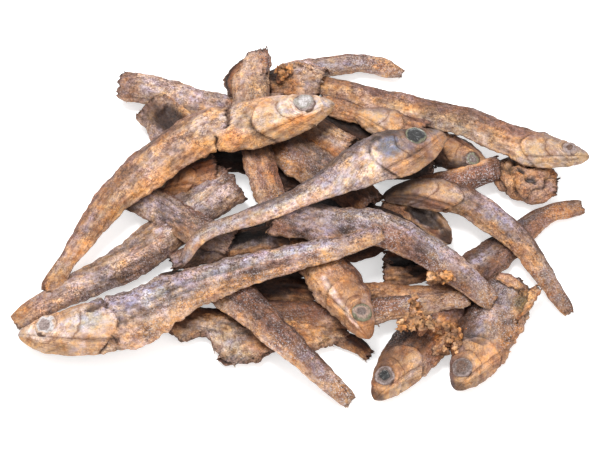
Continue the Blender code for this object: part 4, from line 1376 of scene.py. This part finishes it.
def add_clumps(context):
    """Crumbs of flesh: balls whose radius swells and shrinks with noise, scattered in each clump."""
    palette = context.scene.skin_palette
    draw = np.random.default_rng(31)
    rise = np.linspace(-1.35, 1.35, CRUMB_RINGS)[:, None, None]
    turn = np.linspace(0, 2 * math.pi, CRUMB_SIDES, endpoint=False)[None, :, None]
    ways = (np.cos(rise) * np.cos(turn), np.cos(rise) * np.sin(turn), np.sin(rise))
    ways = np.concatenate(np.broadcast_arrays(*ways), axis=-1)
    all_points, all_colours = [], []
    for middle, halves, count in CLUMPS:
        for number in range(count):
            centre = np.array(middle) + np.clip(draw.normal(0, 0.5, 3), -1, 1) * halves
            radius = draw.uniform(0.3, 0.95) * draw.uniform(0.6, 1.4, 3) * [1.2, 1.2, 0.7]
            swell = 1 + layered(centre + ways * radius, 0, (0.6, 0.8, 0), (0.6, 0.35, 1))
            name = CRUMB_COLOURS[number % len(CRUMB_COLOURS)]
            hue = np.array(getattr(palette, name)) * draw.uniform(0.75, 1.25)
            # Painted shade and light: each crumb's colour darkens in its dents and lightens on its bumps,
            # by the same swell.
            tone = np.clip(0.35 + 0.9 * (swell - 0.5), 0.2, 1.5)[..., None]
            all_points.append(with_poles(centre + ways * radius * swell[..., None]))
            all_colours.append(with_poles(with_alpha(np.clip(hue * tone, 0, 1))))
    points = np.concatenate(all_points)
    attributes = {"skin": np.concatenate(all_colours), "flow": points, "spots": np.full(len(points), 0.3)}
    faces = repeated_faces(CRUMB_RINGS, CRUMB_SIDES, 0, len(all_points))
    add_mesh("crumbs", points, faces, skin_material(context), attributes)


def add_core(context):
    """A mound: its outline shrinks towards its middle as a quarter turn lifts it to the core's height."""
    outline = np.array(CORE_OUTLINE + CORE_OUTLINE[:1], float)
    turns = np.linspace(0, len(CORE_OUTLINE), CORE_SIDES, endpoint=False)
    ring = np.column_stack([np.interp(turns, range(len(outline)), outline[:, k]) for k in range(2)])
    middle = ring.mean(axis=0)
    rise = np.linspace(0, math.pi / 2, CORE_RINGS + 1)[:-1, None]
    plan = middle + (ring - middle)[None] * np.cos(rise)[..., None]
    height = np.broadcast_to(CORE_HEIGHT * np.sin(rise), (CORE_RINGS, CORE_SIDES))
    points = np.concatenate([plan, height[..., None]], axis=-1)
    points[..., 2] += 0.4 * noise(points, 2.5) * np.sin(rise)
    # Painted shade: the core is all umber, as dark as the shade beneath the heap.
    colour = with_alpha(np.broadcast_to(context.scene.skin_palette.umber, points.shape))
    values = {"skin": colour, "flow": points, "raw": np.ones(height.shape)}
    attributes = {name: with_poles(value) for name, value in values.items()}
    faces = grid_faces(CORE_RINGS, CORE_SIDES)
    add_mesh("core", with_poles(points), faces, skin_material(context), attributes)


def eye_faces(start, flip):
    """Quads between an eye's rings and a fan to its middle, turned over when flipped."""
    index = start + np.arange(EYE_RINGS * EYE_SPOKES).reshape(EYE_RINGS, EYE_SPOKES)
    right = np.roll(index, -1, axis=1)
    pole = np.full(EYE_SPOKES, start + EYE_RINGS * EYE_SPOKES)
    quads, cap = [index[:-1], index[1:], right[1:], right[:-1]], [index[0], right[0], pole]
    if flip:
        quads, cap = quads[::-1], [right[0], index[0], pole]
    return np.stack(quads, axis=-1).reshape(-1, 4).tolist() + np.stack(cap, axis=-1).tolist()


def add_eyes(context):
    """Each eye is a low dome of rings: a clouded middle, a rounded shoulder and a rim set in the socket."""
    settings, palette = context.scene.heap_settings, context.scene.skin_palette
    fish = {piece.name: piece for piece in WHOLE_FISH + HALF_FISH}
    share = np.linspace(0.02, 1, EYE_RINGS)[:, None]
    turn = np.linspace(0, 2 * math.pi, EYE_SPOKES, endpoint=False)[None]
    size = EYE_RINGS * EYE_SPOKES + 1
    all_points, all_colours, all_faces, all_shines = [], [], [], []
    for number, eye in enumerate(EYES):
        shape = Shape(fish[eye.fish], settings)
        centre, radius, forward, side, up = shape.eye_frame()
        height = 0.16 * radius * (1 - share**2) - 0.5 * smooth_step(0.9, 1.0, share) - 0.12
        spoke = forward * np.cos(turn)[..., None] + side * np.sin(turn)[..., None]
        reach = share * radius * (1 + 0.07 * noise(spoke * 2, 1.0, shape.seed + 3))
        points = centre + spoke * reach[..., None] + up * height[..., None]
        bumps = 0.16 * noise(points, 1.2, shape.seed) + 0.07 * noise(points, 0.5)
        points = points + up * bumps[..., None]
        wander = share + layered(points, shape.seed, (0.22, 1.5, 1), (0.1, 0.6, 2))
        names = (eye.pupil, eye.pupil, eye.ring, eye.ring, eye.rim, eye.rim, "brown")
        colour = with_alpha(named_colours(palette, names, EYE_KNOTS, wander))
        all_points += [points.reshape(-1, 3), points[0].mean(axis=0)[None]]
        all_colours += [colour.reshape(-1, 4), colour[0, :1]]
        all_faces += eye_faces(number * size, shape.piece.back < 0)
        all_shines.append(np.full(size, eye.shine))
    attributes = {"skin": np.concatenate(all_colours), "shine": np.concatenate(all_shines)}
    material = bpy.data.materials.get("dried eye") or eye_material()
    add_mesh("eyes", np.concatenate(all_points), all_faces, material, attributes)


class HEAP_OT_stage(bpy.types.Operator):
    """Builds the white table, the lights and the camera"""

    bl_idname = "heap.stage"
    bl_label = "Stage"

    def execute(self, context):
        stage = context.scene.stage_settings
        scene = context.scene
        mesh = bpy.data.meshes.new("table")
        corners = [(x * TABLE_HALF, y * TABLE_HALF, 0) for x, y in ((-1, -1), (1, -1), (1, 1), (-1, 1))]
        mesh.from_pydata(corners, [], [(0, 1, 2, 3)])
        table = bpy.data.objects.new("table", mesh)
        scene.collection.objects.link(table)
        graph = Graph("white table")
        mesh.materials.append(graph.finish({
            "Base Color": opaque(stage.floor), "Roughness": 0.9, "Emission Color": opaque(stage.floor),
            "Emission Strength": 0.56,
        }))
        world = scene.world or bpy.data.worlds.new("soft sky")
        scene.world = world
        world.use_nodes = True
        sky = world.node_tree.nodes["Background"]
        sky.inputs["Color"].default_value = (1, 1, 1, 1)
        sky.inputs["Strength"].default_value = stage.sky
        for name, place, size, share in LIGHTS:
            self.add_light(scene, name, place, size, stage.key * share)
        camera = bpy.data.objects.new("camera", bpy.data.cameras.new("camera"))
        scene.collection.objects.link(camera)
        back = Vector((0, -math.cos(stage.elevation), math.sin(stage.elevation)))
        camera.location = Vector(CAMERA_AIM) + back * stage.distance
        camera.rotation_euler = (math.pi / 2 - stage.elevation, 0, 0)
        camera.data.lens = stage.lens
        camera.data.clip_start = CAMERA_NEAR
        scene.camera = camera
        scene.view_settings.view_transform = "Standard"
        return {"FINISHED"}

    @staticmethod
    def add_light(scene, name, place, size, power):
        light = bpy.data.lights.new(name, "AREA")
        light.shape = "DISK"
        light.size = size
        light.energy = power
        made = bpy.data.objects.new(name, light)
        made.location = place
        made.rotation_euler = (-Vector(place)).to_track_quat("-Z", "Y").to_euler()
        made.visible_camera = False
        scene.collection.objects.link(made)


class HEAP_PT_sidebar(bpy.types.Panel):
    """Lists the heap's settings and the operators that build it"""

    bl_idname = "HEAP_PT_sidebar"
    bl_label = "Dried Anchovies"
    bl_space_type = "VIEW_3D"
    bl_region_type = "UI"
    bl_category = "Anchovies"

    def draw(self, context):
        for group in ("heap_settings", "skin_palette", "stage_settings"):
            settings = getattr(context.scene, group)
            box = self.layout.box()
            for name in settings.__annotations__:
                box.prop(settings, name)
        for operator in OPERATORS:
            self.layout.operator(operator.bl_idname)


OPERATORS = (
    HEAP_OT_stage, HEAP_OT_hidden_fish, HEAP_OT_bodies, HEAP_OT_scraps, HEAP_OT_half_fish,
    HEAP_OT_whole_fish, HEAP_OT_crumbs, HEAP_OT_eyes,
)
CLASSES = (HeapSettings, SkinPalette, StageSettings, *OPERATORS, HEAP_PT_sidebar)


def register():
    for kind in CLASSES:
        bpy.utils.register_class(kind)
    bpy.types.Scene.heap_settings = PointerProperty(type=HeapSettings)
    bpy.types.Scene.skin_palette = PointerProperty(type=SkinPalette)
    bpy.types.Scene.stage_settings = PointerProperty(type=StageSettings)


def unregister():
    for name in ("heap_settings", "skin_palette", "stage_settings"):
        delattr(bpy.types.Scene, name)
    for kind in reversed(CLASSES):
        bpy.utils.unregister_class(kind)


def main():
    register()
    for operator in OPERATORS:
        group, name = operator.bl_idname.split(".")
        getattr(getattr(bpy.ops, group), name)()
    bpy.context.view_layer.update()


if __name__ == "__main__":
    main()
